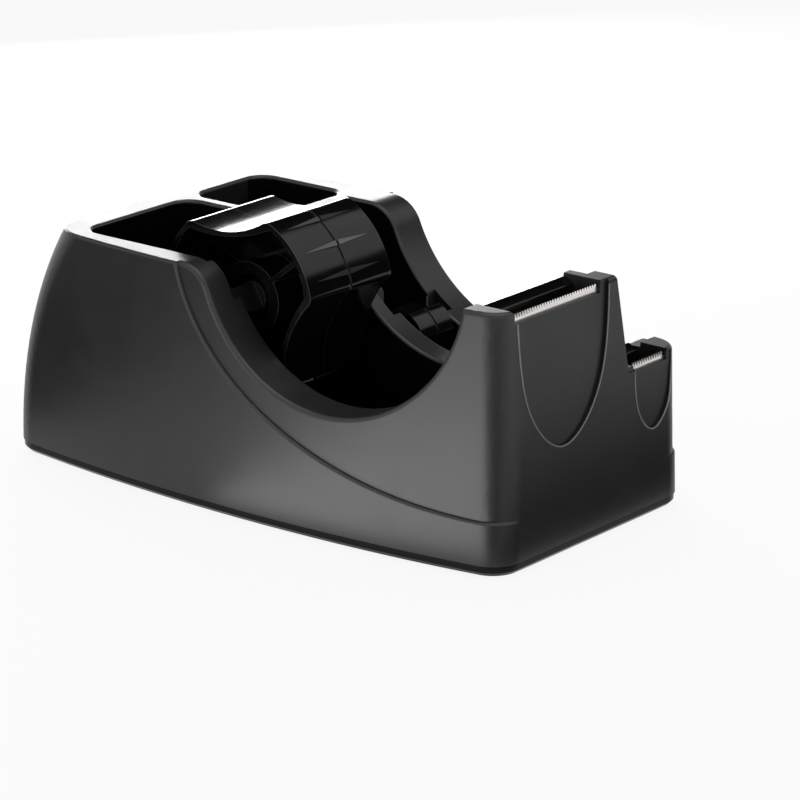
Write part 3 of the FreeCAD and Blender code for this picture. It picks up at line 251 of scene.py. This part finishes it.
def moulded_plastic(name, colour, roughness, grain, grain_depth, specular=0.5):
    """Moulded plastic: a faint cloud in its colour, uneven sheen and a fine eroded grain."""
    cloud_scale = 22.0
    cloud_gain = 1.25
    cloud_lift = 0.001
    sheen_scale = 60.0
    material, tree, shader = new_material(name)
    lighter = [cloud_gain * part + cloud_lift for part in colour]
    cloud = spread(tree, noise(tree, cloud_scale), 0.0, 1.0)
    tree.links.new(blend_colours(tree, cloud, colour, lighter), shader.inputs["Base Color"])
    sheen = spread(tree, noise(tree, sheen_scale, detail=4.0), *roughness)
    tree.links.new(sheen, shader.inputs["Roughness"])
    shader.inputs["Specular IOR Level"].default_value = specular
    add_bump(tree, shader, noise(tree, grain), grain_depth)
    return material


weld = 2e-6                 # corners nearer than this are one


def eased(node, body, radius):
    """A copy of a part with its sharp edges rounded, standing for it. The rounds can have a finish of
    their own."""
    flat_angle = 0.3
    sharp_angle = 35.0
    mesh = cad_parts[node].data.copy()
    work = bmesh.new()
    work.from_mesh(mesh)
    bmesh.ops.remove_doubles(work, verts=work.verts, dist=weld)
    bmesh.ops.dissolve_limit(work, angle_limit=math.radians(flat_angle),
                             verts=work.verts, edges=work.edges)
    work.to_mesh(mesh)
    work.free()
    mesh.materials.clear()
    mesh.materials.append(None)     # for the faces
    mesh.materials.append(None)     # for the rounds
    piece = linked("eased_" + node, mesh)
    rounding = piece.modifiers.new("rounding", "BEVEL")
    rounding.width = radius
    rounding.segments = 2
    rounding.limit_method = "ANGLE"
    rounding.angle_limit = math.radians(sharp_angle)
    rounding.miter_outer = "MITER_ARC"
    # the rounds' own slot; on the cores and bushes it takes a lighter colour, a painted highlight
    rounding.material = 1
    solid = bpy.data.meshes.new_from_object(piece.evaluated_get(bpy.context.evaluated_depsgraph_get()))
    piece.modifiers.clear()
    piece.data = solid
    for face in solid.polygons:
        face.use_smooth = True
    even = piece.modifiers.new("even", "WEIGHTED_NORMAL")
    even.keep_sharp = True
    even.weight = 50
    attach(piece, body)
    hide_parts(node)
    return piece


def finish(piece, slot_name, *materials):
    """Give a piece its finish, or its finishes in the order of its faces' numbers."""
    numbers = [min(face.material_index, len(materials) - 1) for face in piece.data.polygons]
    piece.data.materials.clear()
    for material in materials:
        piece.data.materials.append(material)
    piece.data.polygons.foreach_set("material_index", numbers)


satin_black = moulded_plastic("satin_black_moulding", (0.005, 0.0052, 0.0056), roughness=(0.40, 0.44),
                              grain=1900.0, grain_depth=0.000012)
# Inside the hollows the plastic is polished, and its darker colour and weaker reflection are painted
# shade.
bay_shade_black = moulded_plastic("bay_polished_black_painted_shade", (0.002, 0.002, 0.0022), roughness=(0.20, 0.26),
                            grain=900.0, grain_depth=0.000004, specular=0.25)

# each hollow's low X, high X, low Y and high Y
tray = (-0.089, -0.022, -0.0556, 0.0086)
wide_bay = (-0.022, 0.1056, -0.0489, 0.0086)
narrow_bay = (-0.036, 0.1056, 0.0209, 0.0489)
pocket = (-0.089, -0.043, 0.0244, 0.0546)
hollows = (tray, wide_bay, narrow_bay, pocket)
highest_floor = 0.045


def inside_bay(face):
    """Whether a face of the housing is a wall or the floor of a hollow."""
    upright_lean = 0.35
    level_lean = 0.9
    x, y, z = face.center
    within = any(x0 <= x <= x1 and y0 <= y <= y1 for x0, x1, y0, y1 in hollows)
    on_wall = abs(face.normal.z) < upright_lean
    on_floor = face.normal.z > level_lean and z < highest_floor
    return within and (on_wall or on_floor)


housing = eased("housing_shell", "housing", radius=0.0004)
# walls and floors of the hollows take the darker finish: painted shade
for face in housing.data.polygons:
    face.material_index = 1 if inside_bay(face) else 0
finish(housing, "housing_plastic", satin_black, bay_shade_black)


# each relief's low Y, high Y and top
wide_relief = (-0.0492, 0.0094, 0.0975)
narrow_relief = (0.0246, 0.0509, 0.0608)
relief_bottom = 0.03


def round_relief(edge):
    """Whether an edge is the outer edge of a relief, where the front face turns into the step."""
    step_lean = 0.2
    front_lean = 0.93
    leans = sorted(face.normal.x for face in edge.link_faces)
    y, z = (sum(vert.co[axis] for vert in edge.verts) / 2 for axis in (1, 2))
    on_relief = any(low < y < high and relief_bottom < z < top
                    for low, high, top in (wide_relief, narrow_relief))
    return on_relief and edge.is_convex and abs(leans[0]) < step_lean and leans[1] > front_lean


def relief_lines():
    """The corners and edges that run round the reliefs."""
    points = []
    lines = []
    bare = bmesh.new()
    bare.from_mesh(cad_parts["housing_shell"].data)
    bmesh.ops.remove_doubles(bare, verts=bare.verts, dist=weld)
    for edge in bare.edges:
        if len(edge.link_faces) == 2 and round_relief(edge):
            lines.append((len(points), len(points) + 1))
            points += [vert.co.copy() for vert in edge.verts]
    bare.free()
    return points, lines


def new_tree(name, sizes):
    """A Geometry Nodes tree with its named inputs, and the inputs by name."""
    tree = bpy.data.node_groups.new(name, "GeometryNodeTree")
    tree.interface.new_socket("Geometry", in_out="INPUT", socket_type="NodeSocketGeometry")
    for label, kind in sizes.items():
        tree.interface.new_socket(label, in_out="INPUT", socket_type="NodeSocket" + kind)
    tree.interface.new_socket("Geometry", in_out="OUTPUT", socket_type="NodeSocketGeometry")
    return tree, tree.nodes.new("NodeGroupInput").outputs


def add_node(tree, kind, values, **settings):
    """Add a node, link or set its inputs, and give its first output."""
    node = tree.nodes.new(kind)
    for setting, choice in settings.items():
        setattr(node, setting, choice)
    for label, value in values.items():
        if isinstance(value, bpy.types.NodeSocket):
            tree.links.new(value, node.inputs[label])
        else:
            node.inputs[label].default_value = value
    return node.outputs[0]


def close(tree, mesh, material):
    """The tree's end: real meshes in place of instances, with their material."""
    real = add_node(tree, "GeometryNodeRealizeInstances", {"Geometry": mesh})
    dressed = add_node(tree, "GeometryNodeSetMaterial", {"Geometry": real, "Material": material})
    tree.links.new(dressed, tree.nodes.new("NodeGroupOutput").inputs["Geometry"])
    return tree


def shade_smooth(mesh, sharp_angle):
    """Smooth shading, with the edges past an angle in degrees left sharp."""
    for face in mesh.polygons:
        face.use_smooth = True
    mesh.set_sharp_from_angle(angle=math.radians(sharp_angle))


def made_by(tree, name, sizes, points=(), lines=(), sharp_angle=40.0):
    """The plain mesh that a tree makes from its sizes, at points or along lines where it needs them."""
    start = bpy.data.meshes.new(name)
    start.from_pydata(list(points), list(lines), [])
    piece = linked(name, start)
    maker = piece.modifiers.new("maker", "NODES")
    maker.node_group = tree
    for item in tree.interface.items_tree:
        if item.in_out == "INPUT" and item.name in sizes:
            maker[item.identifier] = sizes[item.name]
    mesh = bpy.data.meshes.new_from_object(piece.evaluated_get(bpy.context.evaluated_depsgraph_get()))
    piece.modifiers.remove(maker)
    piece.data = mesh
    shade_smooth(mesh, sharp_angle)
    return piece


def relief_bead():
    """A round bead along the lines it is given."""
    tree, given = new_tree("relief_bead", {"Radius": "Float", "Weld": "Float", "Plastic": "Material"})
    joined_lines = add_node(tree, "GeometryNodeMergeByDistance",
                            {"Geometry": given["Geometry"], "Distance": given["Weld"]})
    path = add_node(tree, "GeometryNodeMeshToCurve", {"Mesh": joined_lines})
    outline = add_node(tree, "GeometryNodeCurvePrimitiveCircle",
                       {"Resolution": 10, "Radius": given["Radius"]})
    bead = add_node(tree, "GeometryNodeCurveToMesh",
                    {"Curve": path, "Profile Curve": outline, "Fill Caps": True})
    return close(tree, bead, given["Plastic"])


# The bead's light grey colour is a painted highlight along the relief edges.
bead_highlight_grey = moulded_plastic("relief_bead_painted_highlight", (0.14, 0.14, 0.143), roughness=(0.24, 0.30),
                               grain=1500.0, grain_depth=0.000004, specular=0.7)
bead_radius = 0.00035
relief_beads = made_by(relief_bead(), "relief_beads",
                       {"Radius": bead_radius, "Weld": weld, "Plastic": bead_highlight_grey}, *relief_lines())
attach(relief_beads, "housing")


# ---------------------------------------------------------------- tape rests
# Two bars moulded in gloss black plastic, dropped into seats behind the front wall. The tape's
# end lies on the rounded bar at the back; the low step in front holds the cutter from behind.

gloss_black = moulded_plastic("gloss_black_moulding", (0.003, 0.003, 0.0032), roughness=(0.12, 0.17),
                              grain=700.0, grain_depth=0.000002, specular=0.3)


def arc_points(centre, start, end, radius, steps):
    """Points of an arc about a centre, from a start to an end in degrees."""
    x, z = centre
    angles = [math.radians(start + (end - start) * number / steps) for number in range(steps + 1)]
    return [(x + radius * math.cos(angle), z + radius * math.sin(angle)) for angle in angles]


def tape_rest(node):
    """The rest's outline, run along the cutter."""
    low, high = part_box(node)
    crest = 0.0012
    ledge = 0.0006
    bar_width = 0.0055
    ledge_drop = 0.0019
    floor_drop = 0.0088
    step_back = 0.0012
    face_lean = 5.0
    slope = 65.0
    ledge_centre = (low.x + bar_width - ledge, high.z - ledge_drop - ledge)
    crest_centre = (low.x + crest, high.z - crest)
    outline = [(low.x, low.z), (high.x, low.z), (high.x, high.z - floor_drop),
               (low.x + bar_width + step_back, high.z - floor_drop)]
    outline += arc_points(ledge_centre, face_lean, slope, ledge, steps=5)
    outline += arc_points(crest_centre, slope, 180.0, crest, steps=8)
    work = bmesh.new()
    near_end = work.faces.new([work.verts.new((x, low.y, z)) for x, z in outline])
    swept = bmesh.ops.extrude_face_region(work, geom=[near_end])
    far_end = [part for part in swept["geom"] if isinstance(part, bmesh.types.BMVert)]
    bmesh.ops.translate(work, verts=far_end, vec=(0.0, high.y - low.y, 0.0))
    bmesh.ops.recalc_face_normals(work, faces=work.faces)
    mesh = bpy.data.meshes.new("rounded_" + node)
    work.to_mesh(mesh)
    work.free()
    shade_smooth(mesh, 40.0)
    piece = linked("rounded_" + node, mesh)
    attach(piece, "housing")
    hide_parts(node)
    finish(piece, "rest_plastic", gloss_black)


tape_rest("wide_tape_rest")
tape_rest("narrow_tape_rest")


# ---------------------------------------------------------------- cutters
# Two strips of spring steel with a row of narrow punched teeth. Each stands in a slit between
# the front wall and the tape rest, and its teeth show over the wall.

def brushed_steel(name, colour, roughness, stretch=(1.0, 1.0, 1.0)):
    """Steel with a fine grain, drawn out to lines where it was rolled."""
    line_scale = 5200.0
    line_shade = 0.93
    line_depth = 0.000002
    sheen_scale = 2600.0
    material, tree, shader = new_material(name)
    rolled = spread(tree, noise(tree, line_scale, stretch=stretch), 0.0, 1.0)
    darker = [line_shade * part for part in colour]
    tree.links.new(blend_colours(tree, rolled, darker, colour), shader.inputs["Base Color"])
    shader.inputs["Metallic"].default_value = 1.0
    sheen = spread(tree, noise(tree, sheen_scale, stretch=stretch), *roughness)
    tree.links.new(sheen, shader.inputs["Roughness"])
    add_bump(tree, shader, rolled, line_depth)
    return material


def maths(tree, operation, one, two):
    """A Math node on two values."""
    return add_node(tree, "ShaderNodeMath", {0: one, 1: two}, operation=operation)


def rounded_down(tree, value):
    """The whole part of a value."""
    return add_node(tree, "ShaderNodeMath", {0: value}, operation="FLOOR")


def vector(tree, x, y, z):
    """Three numbers as one vector."""
    return add_node(tree, "ShaderNodeCombineXYZ", {"X": x, "Y": y, "Z": z})


def moved(tree, mesh, shift=(0.0, 0.0, 0.0), turn=(0.0, 0.0, 0.0), scale=(1.0, 1.0, 1.0)):
    """A mesh scaled, then turned, then shifted."""
    return add_node(tree, "GeometryNodeTransform",
                    {"Geometry": mesh, "Translation": shift, "Rotation": turn, "Scale": scale})


def joined(tree, *meshes):
    """Several meshes as one."""
    node = tree.nodes.new("GeometryNodeJoinGeometry")
    for mesh in meshes:
        tree.links.new(mesh, node.inputs["Geometry"])
    return node.outputs["Geometry"]


def cutter():
    """A strip standing on its long edge, with a row of teeth in the middle of its top."""
    tree, given = new_tree("cutter", {
        "Front": "Vector", "Length": "Float", "Strip Height": "Float", "Thickness": "Float",
        "Tooth Pitch": "Float", "Tooth Base": "Float", "Tooth Height": "Float", "Steel": "Material"})
    half_back = maths(tree, "MULTIPLY", given["Thickness"], -0.5)
    half_length = maths(tree, "MULTIPLY", given["Length"], 0.5)
    half_height = maths(tree, "MULTIPLY", given["Strip Height"], 0.5)
    strip = add_node(tree, "GeometryNodeMeshCube",
                     {"Size": vector(tree, given["Thickness"], given["Length"], given["Strip Height"])})
    strip = moved(tree, strip, vector(tree, half_back, half_length, half_height))

    # a three-sided disc of radius 1 is a triangle of this height and base, its middle a third up
    triangle_height = 1.5
    triangle_base = math.sqrt(3.0)
    tooth = add_node(tree, "GeometryNodeMeshCylinder",
                     {"Vertices": 3, "Radius": 1.0, "Depth": given["Thickness"]})
    tooth = moved(tree, tooth, turn=(0.0, math.radians(-90.0), 0.0),
                  scale=vector(tree, maths(tree, "DIVIDE", given["Tooth Height"], triangle_height),
                               maths(tree, "DIVIDE", given["Tooth Base"], triangle_base), 1.0))

    count = rounded_down(tree, maths(tree, "DIVIDE", given["Length"], given["Tooth Pitch"]))
    row_length = maths(tree, "MULTIPLY", maths(tree, "SUBTRACT", count, 1.0), given["Tooth Pitch"])
    row_start = maths(tree, "MULTIPLY", maths(tree, "SUBTRACT", given["Length"], row_length), 0.5)
    tooth_middle = maths(tree, "DIVIDE", given["Tooth Height"], 3.0)
    row_height = maths(tree, "ADD", given["Strip Height"], tooth_middle)
    row = add_node(tree, "GeometryNodeMeshLine", {
        "Count": count, "Start Location": vector(tree, half_back, row_start, row_height),
        "Offset": vector(tree, 0.0, given["Tooth Pitch"], 0.0)})
    teeth = add_node(tree, "GeometryNodeInstanceOnPoints", {"Points": row, "Instance": tooth})
    return close(tree, moved(tree, joined(tree, strip, teeth), given["Front"]), given["Steel"])


blade_steel = brushed_steel("blade_steel", (0.90, 0.86, 0.84), roughness=(0.28, 0.36),
                            stretch=(1.0, 0.04, 1.0))
tooth_pitch = 0.00156
tooth_base = 0.00105
tooth_height = 0.0019
cutter_tree = cutter()
for node in ("wide_blade", "narrow_blade"):
    low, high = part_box(node)
    blade = made_by(cutter_tree, "toothed_" + node, {
        "Front": (high.x, low.y, low.z), "Length": high.y - low.y,
        "Strip Height": high.z - low.z - tooth_height, "Thickness": high.x - low.x,
        "Tooth Pitch": tooth_pitch, "Tooth Base": tooth_base, "Tooth Height": tooth_height,
        "Steel": blade_steel}, sharp_angle=20.0)
    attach(blade, "housing")
    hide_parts(node)


# ---------------------------------------------------------------- tape cores
# Each core is two gloss black halves pushed together on a hub, their rounded edges coloured lighter
# as a painted highlight. The large one has three lobes for a wide roll, with low fins that taper away
# from its middle groove and grip the card; the fins too are coloured lighter as a painted highlight.

# The rounds of the core halves and bushes get a lighter colour: a painted highlight.
core_edge_highlight = moulded_plastic("core_edge_painted_highlight", (0.07, 0.07, 0.072), roughness=(0.14, 0.20),
                              grain=900.0, grain_depth=0.000002, specular=0.9)
for side in ("left", "right"):
    large_half = eased(f"large_core_{side}_half", "large_core", radius=0.00025)
    finish(large_half, "core_plastic", gloss_black, core_edge_highlight)
    small_half = eased(f"small_core_{side}_half", "small_core", radius=0.00015)
    finish(small_half, "core_plastic", gloss_black, core_edge_highlight)
    bush = eased(f"large_hub_bush_{side}", "large_core", radius=0.00015)
    finish(bush, "bush_plastic", gloss_black, core_edge_highlight)


def grip_fins():
    """Three pairs of fins on each lobe, pointing away from the groove on both sides."""
    lobes = 3
    fins_on_lobe = 3
    square_side = math.sqrt(2.0)
    tree, given = new_tree("grip_fins", {
        "Centre": "Vector", "Radius": "Float", "First Angle": "Float", "Fin Step": "Float",
        "Groove Half": "Float", "Fin Length": "Float", "Fin Width": "Float", "Fin Height": "Float",
        "Plastic": "Material"})
    # a four-sided cone lies half sunk in the lobe, so that half of its height stands out
    double_height = maths(tree, "MULTIPLY", given["Fin Height"], 2.0)
    fin_scale = vector(tree, maths(tree, "DIVIDE", double_height, square_side),
                       maths(tree, "DIVIDE", given["Fin Width"], square_side), 1.0)
    fin = add_node(tree, "GeometryNodeMeshCone", {
        "Vertices": 4, "Radius Top": 0.0, "Radius Bottom": 1.0, "Depth": given["Fin Length"]})
    fin = moved(tree, fin, turn=(0.0, 0.0, math.radians(45.0)))
    fin = moved(tree, fin, scale=fin_scale)
    groove_back = maths(tree, "MULTIPLY", given["Groove Half"], -1.0)
    near_fin = moved(tree, fin, vector(tree, given["Radius"], groove_back, 0.0),
                     turn=(math.radians(90.0), 0.0, 0.0))
    far_fin = moved(tree, fin, vector(tree, given["Radius"], given["Groove Half"], 0.0),
                    turn=(math.radians(-90.0), 0.0, 0.0))

    number = add_node(tree, "GeometryNodeInputIndex", {})
    lobe = rounded_down(tree, maths(tree, "DIVIDE", number, fins_on_lobe))
    lobe_angle = maths(tree, "MULTIPLY", lobe, 2.0 * math.pi / lobes)
    place_on_lobe = maths(tree, "SUBTRACT", maths(tree, "MODULO", number, fins_on_lobe), 1.0)
    fin_angle = maths(tree, "MULTIPLY", place_on_lobe, given["Fin Step"])
    angle = maths(tree, "ADD", maths(tree, "ADD", lobe_angle, fin_angle), given["First Angle"])
    points = add_node(tree, "GeometryNodeMeshLine",
                      {"Count": lobes * fins_on_lobe, "Offset": (0.0, 0.0, 0.0)})
    ring = add_node(tree, "GeometryNodeInstanceOnPoints", {
        "Points": points, "Instance": joined(tree, near_fin, far_fin),
        "Rotation": vector(tree, 0.0, maths(tree, "MULTIPLY", angle, -1.0), 0.0)})
    return close(tree, moved(tree, ring, given["Centre"]), given["Plastic"])


# The fins are coloured lighter than the core: a painted highlight.
fin_highlight_black = moulded_plastic("core_fin_painted_highlight", (0.035, 0.035, 0.036), roughness=(0.14, 0.20),
                            grain=900.0, grain_depth=0.000002, specular=0.8)
bush_low, bush_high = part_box("large_hub_bush_left")
hub = (bush_low + bush_high) / 2
groove_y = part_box("large_core_right_half")[0].y
core_radius = 0.0381
lobe_middle = math.radians(38.5)
grips = made_by(grip_fins(), "large_core_grip_fins", {
    "Centre": (hub.x, groove_y, hub.z), "Radius": core_radius, "First Angle": lobe_middle,
    "Fin Step": math.radians(18.0), "Groove Half": 0.0006, "Fin Length": 0.019, "Fin Width": 0.0022,
    "Fin Height": 0.0008, "Plastic": fin_highlight_black}, sharp_angle=20.0)
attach(grips, "large_core")


# ---------------------------------------------------------------- axles
# Plain acetal rods with three-cornered ends, laid into the slots of the bay walls from above.
# Their ends stay in the slots while the core turns, and lift out when a roll is changed.

axle_black = moulded_plastic("axle_black", (0.008, 0.008, 0.0085), roughness=(0.28, 0.36),
                             grain=1300.0, grain_depth=0.000004, specular=0.35)
finish(eased("large_axle", "large_spindle", radius=0.0002), "axle_plastic", axle_black)
finish(eased("small_axle", "small_spindle", radius=0.0002), "axle_plastic", axle_black)


# ---------------------------------------------------------------- drawer
# A shallow tray with a clipped front, moulded like the housing, which slides out at the back on
# two glued runners of slippery grey plastic.

finish(eased("drawer_tray", "drawer", radius=0.0003), "drawer_plastic", satin_black)
finish(eased("drawer_front", "drawer", radius=0.0005), "drawer_plastic", satin_black)
runner_grey = moulded_plastic("runner_grey", (0.045, 0.045, 0.047), roughness=(0.40, 0.50),
                              grain=1500.0, grain_depth=0.000008, specular=0.4)
finish(eased("drawer_runner_left", "housing", radius=0.0002), "runner_plastic", runner_grey)
finish(eased("drawer_runner_right", "housing", radius=0.0002), "runner_plastic", runner_grey)


# ---------------------------------------------------------------- ballast and base cover
# A sand-cast iron slab lies on the base cover inside the housing and keeps the dispenser on the
# desk. The cover closes the housing from below and shows as a smooth dark line round its foot.

cast_iron, iron_tree, iron_shader = new_material("cast_iron_slab")
cloud_scale = 140.0
sand_scale = 900.0
sand_depth = 0.0002
iron_cloud = spread(iron_tree, noise(iron_tree, cloud_scale, detail=5.0), 0.0, 1.0)
iron_colour = blend_colours(iron_tree, iron_cloud, (0.10, 0.10, 0.105), (0.19, 0.185, 0.18))
iron_tree.links.new(iron_colour, iron_shader.inputs["Base Color"])
iron_shader.inputs["Metallic"].default_value = 0.8
iron_shader.inputs["Roughness"].default_value = 0.6
add_bump(iron_tree, iron_shader, noise(iron_tree, sand_scale, detail=5.0), sand_depth)
finish(eased("ballast_slab", "housing", radius=0.0008), "ballast_iron", cast_iron)

cover_black = moulded_plastic("cover_black_moulding", (0.002, 0.002, 0.0022), roughness=(0.24, 0.30),
                              grain=1500.0, grain_depth=0.000005, specular=0.15)
finish(eased("base_cover", "housing", radius=0.0003), "base_plastic", cover_black)


# ---------------------------------------------------------------- screws
# Six plated pan-head screws hold the cover to posts in the housing, and two smaller ones hold
# the drawer's front to its tray. All have cross recesses.

def cross_head_screws():
    """A screw at each point, its head below and its shank above."""
    # shares of the head's radius and height; half of the recess's depth lies in the head
    head_face = 0.82
    recess_length = 1.1
    recess_width = 0.28
    recess_depth = 1.1
    tree, given = new_tree("cross_head_screws", {
        "Turn": "Vector", "Head Radius": "Float", "Head Height": "Float", "Shank Radius": "Float",
        "Shank Length": "Float", "Steel": "Material"})
    head = add_node(tree, "GeometryNodeMeshCone", {
        "Vertices": 32, "Radius Top": given["Head Radius"],
        "Radius Bottom": maths(tree, "MULTIPLY", given["Head Radius"], head_face),
        "Depth": given["Head Height"]})
    long = maths(tree, "MULTIPLY", given["Head Radius"], recess_length)
    wide = maths(tree, "MULTIPLY", given["Head Radius"], recess_width)
    deep = maths(tree, "MULTIPLY", given["Head Height"], recess_depth)
    for size in (vector(tree, long, wide, deep), vector(tree, wide, long, deep)):
        recess = add_node(tree, "GeometryNodeMeshCube", {"Size": size})
        head = add_node(tree, "GeometryNodeMeshBoolean", {"Mesh 1": head, "Mesh 2": recess},
                        operation="DIFFERENCE", solver="EXACT")
    shank = add_node(tree, "GeometryNodeMeshCylinder",
                     {"Vertices": 20, "Radius": given["Shank Radius"], "Depth": given["Shank Length"]})
    half_shank = maths(tree, "MULTIPLY", given["Shank Length"], 0.5)
    shank_middle = maths(tree, "ADD", given["Head Height"], half_shank)
    shank = moved(tree, shank, vector(tree, 0.0, 0.0, shank_middle))
    screws = add_node(tree, "GeometryNodeInstanceOnPoints", {
        "Points": given["Geometry"], "Instance": joined(tree, head, shank), "Rotation": given["Turn"]})
    return close(tree, screws, given["Steel"])


screw_steel = brushed_steel("plated_steel", (0.55, 0.55, 0.56), roughness=(0.26, 0.34))
screw_tree = cross_head_screws()

low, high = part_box("base_screws")
cover_head = 0.0018
cover_posts = ((-0.1135, 0.044), (0.010, 0.0585), (0.1135, 0.044))
cover_screws = made_by(screw_tree, "cover_screws", {
    "Head Radius": 0.003, "Head Height": cover_head, "Shank Radius": 0.0015,
    "Shank Length": high.z - low.z - cover_head, "Steel": screw_steel},
    [(x, side * y, low.z) for x, y in cover_posts for side in (-1, 1)])
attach(cover_screws, "housing")
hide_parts("base_screws")

low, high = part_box("drawer_front_screws")
drawer_head = 0.0012
drawer_screw_y = 0.022
drawer_screw_z = 0.02
drawer_screws = made_by(screw_tree, "drawer_front_screws_cross", {
    "Turn": (0.0, math.radians(-90.0), 0.0), "Head Radius": 0.002, "Head Height": drawer_head,
    "Shank Radius": 0.001, "Shank Length": high.x - low.x - drawer_head, "Steel": screw_steel},
    [(high.x, side * drawer_screw_y, drawer_screw_z) for side in (-1, 1)])
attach(drawer_screws, "drawer")
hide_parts("drawer_front_screws")


# ---------------------------------------------------------------- feet
# Four soft rubber pads pressed into round recesses of the base cover. Two raised rings under
# each pad grip the desk.

def rubber_feet():
    """A pad at each point: a disc with a bevelled lower edge and two rings under it."""
    ring_shares = (0.38, 0.72)
    sides = 48
    tree, given = new_tree("rubber_feet", {
        "Radius": "Float", "Height": "Float", "Ring Height": "Float", "Edge": "Float",
        "Rubber": "Material"})
    on_rings = vector(tree, 0.0, 0.0, given["Ring Height"])
    edge_top = maths(tree, "ADD", given["Ring Height"], given["Edge"])
    edge = add_node(tree, "GeometryNodeMeshCone", {
        "Vertices": sides, "Radius Top": given["Radius"],
        "Radius Bottom": maths(tree, "SUBTRACT", given["Radius"], given["Edge"]),
        "Depth": given["Edge"]})
    edge = moved(tree, edge, on_rings)
    disc_height = maths(tree, "SUBTRACT", given["Height"], edge_top)
    disc = add_node(tree, "GeometryNodeMeshCylinder",
                    {"Vertices": sides, "Radius": given["Radius"], "Depth": disc_height})
    half_disc = maths(tree, "MULTIPLY", disc_height, 0.5)
    disc = moved(tree, disc, vector(tree, 0.0, 0.0, maths(tree, "ADD", edge_top, half_disc)))
    outline = add_node(tree, "GeometryNodeCurvePrimitiveCircle",
                       {"Resolution": 12, "Radius": given["Ring Height"]})
    rings = []
    for share in ring_shares:
        ring_radius = maths(tree, "MULTIPLY", given["Radius"], share)
        ring_path = add_node(tree, "GeometryNodeCurvePrimitiveCircle",
                             {"Resolution": sides, "Radius": ring_radius})
        rings.append(add_node(tree, "GeometryNodeCurveToMesh",
                              {"Curve": ring_path, "Profile Curve": outline}))
    ring_pair = moved(tree, joined(tree, *rings), on_rings)
    feet = add_node(tree, "GeometryNodeInstanceOnPoints", {
        "Points": given["Geometry"], "Instance": joined(tree, edge, disc, ring_pair)})
    return close(tree, feet, given["Rubber"])


rubber = moulded_plastic("foot_rubber", (0.02, 0.02, 0.02), roughness=(0.75, 0.9),
                         grain=2600.0, grain_depth=0.00003)
pad_x = 0.1
pad_y = 0.046
pads = made_by(rubber_feet(), "ringed_rubber_feet", {
    "Radius": 0.0079, "Height": 0.0016, "Ring Height": 0.0003, "Edge": 0.0004, "Rubber": rubber},
    [(x, y, 0.0) for x in (-pad_x, pad_x) for y in (-pad_y, pad_y)])
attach(pads, "housing")
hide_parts("foot_pad_front_left", "foot_pad_front_right",
            "foot_pad_rear_left", "foot_pad_rear_right")
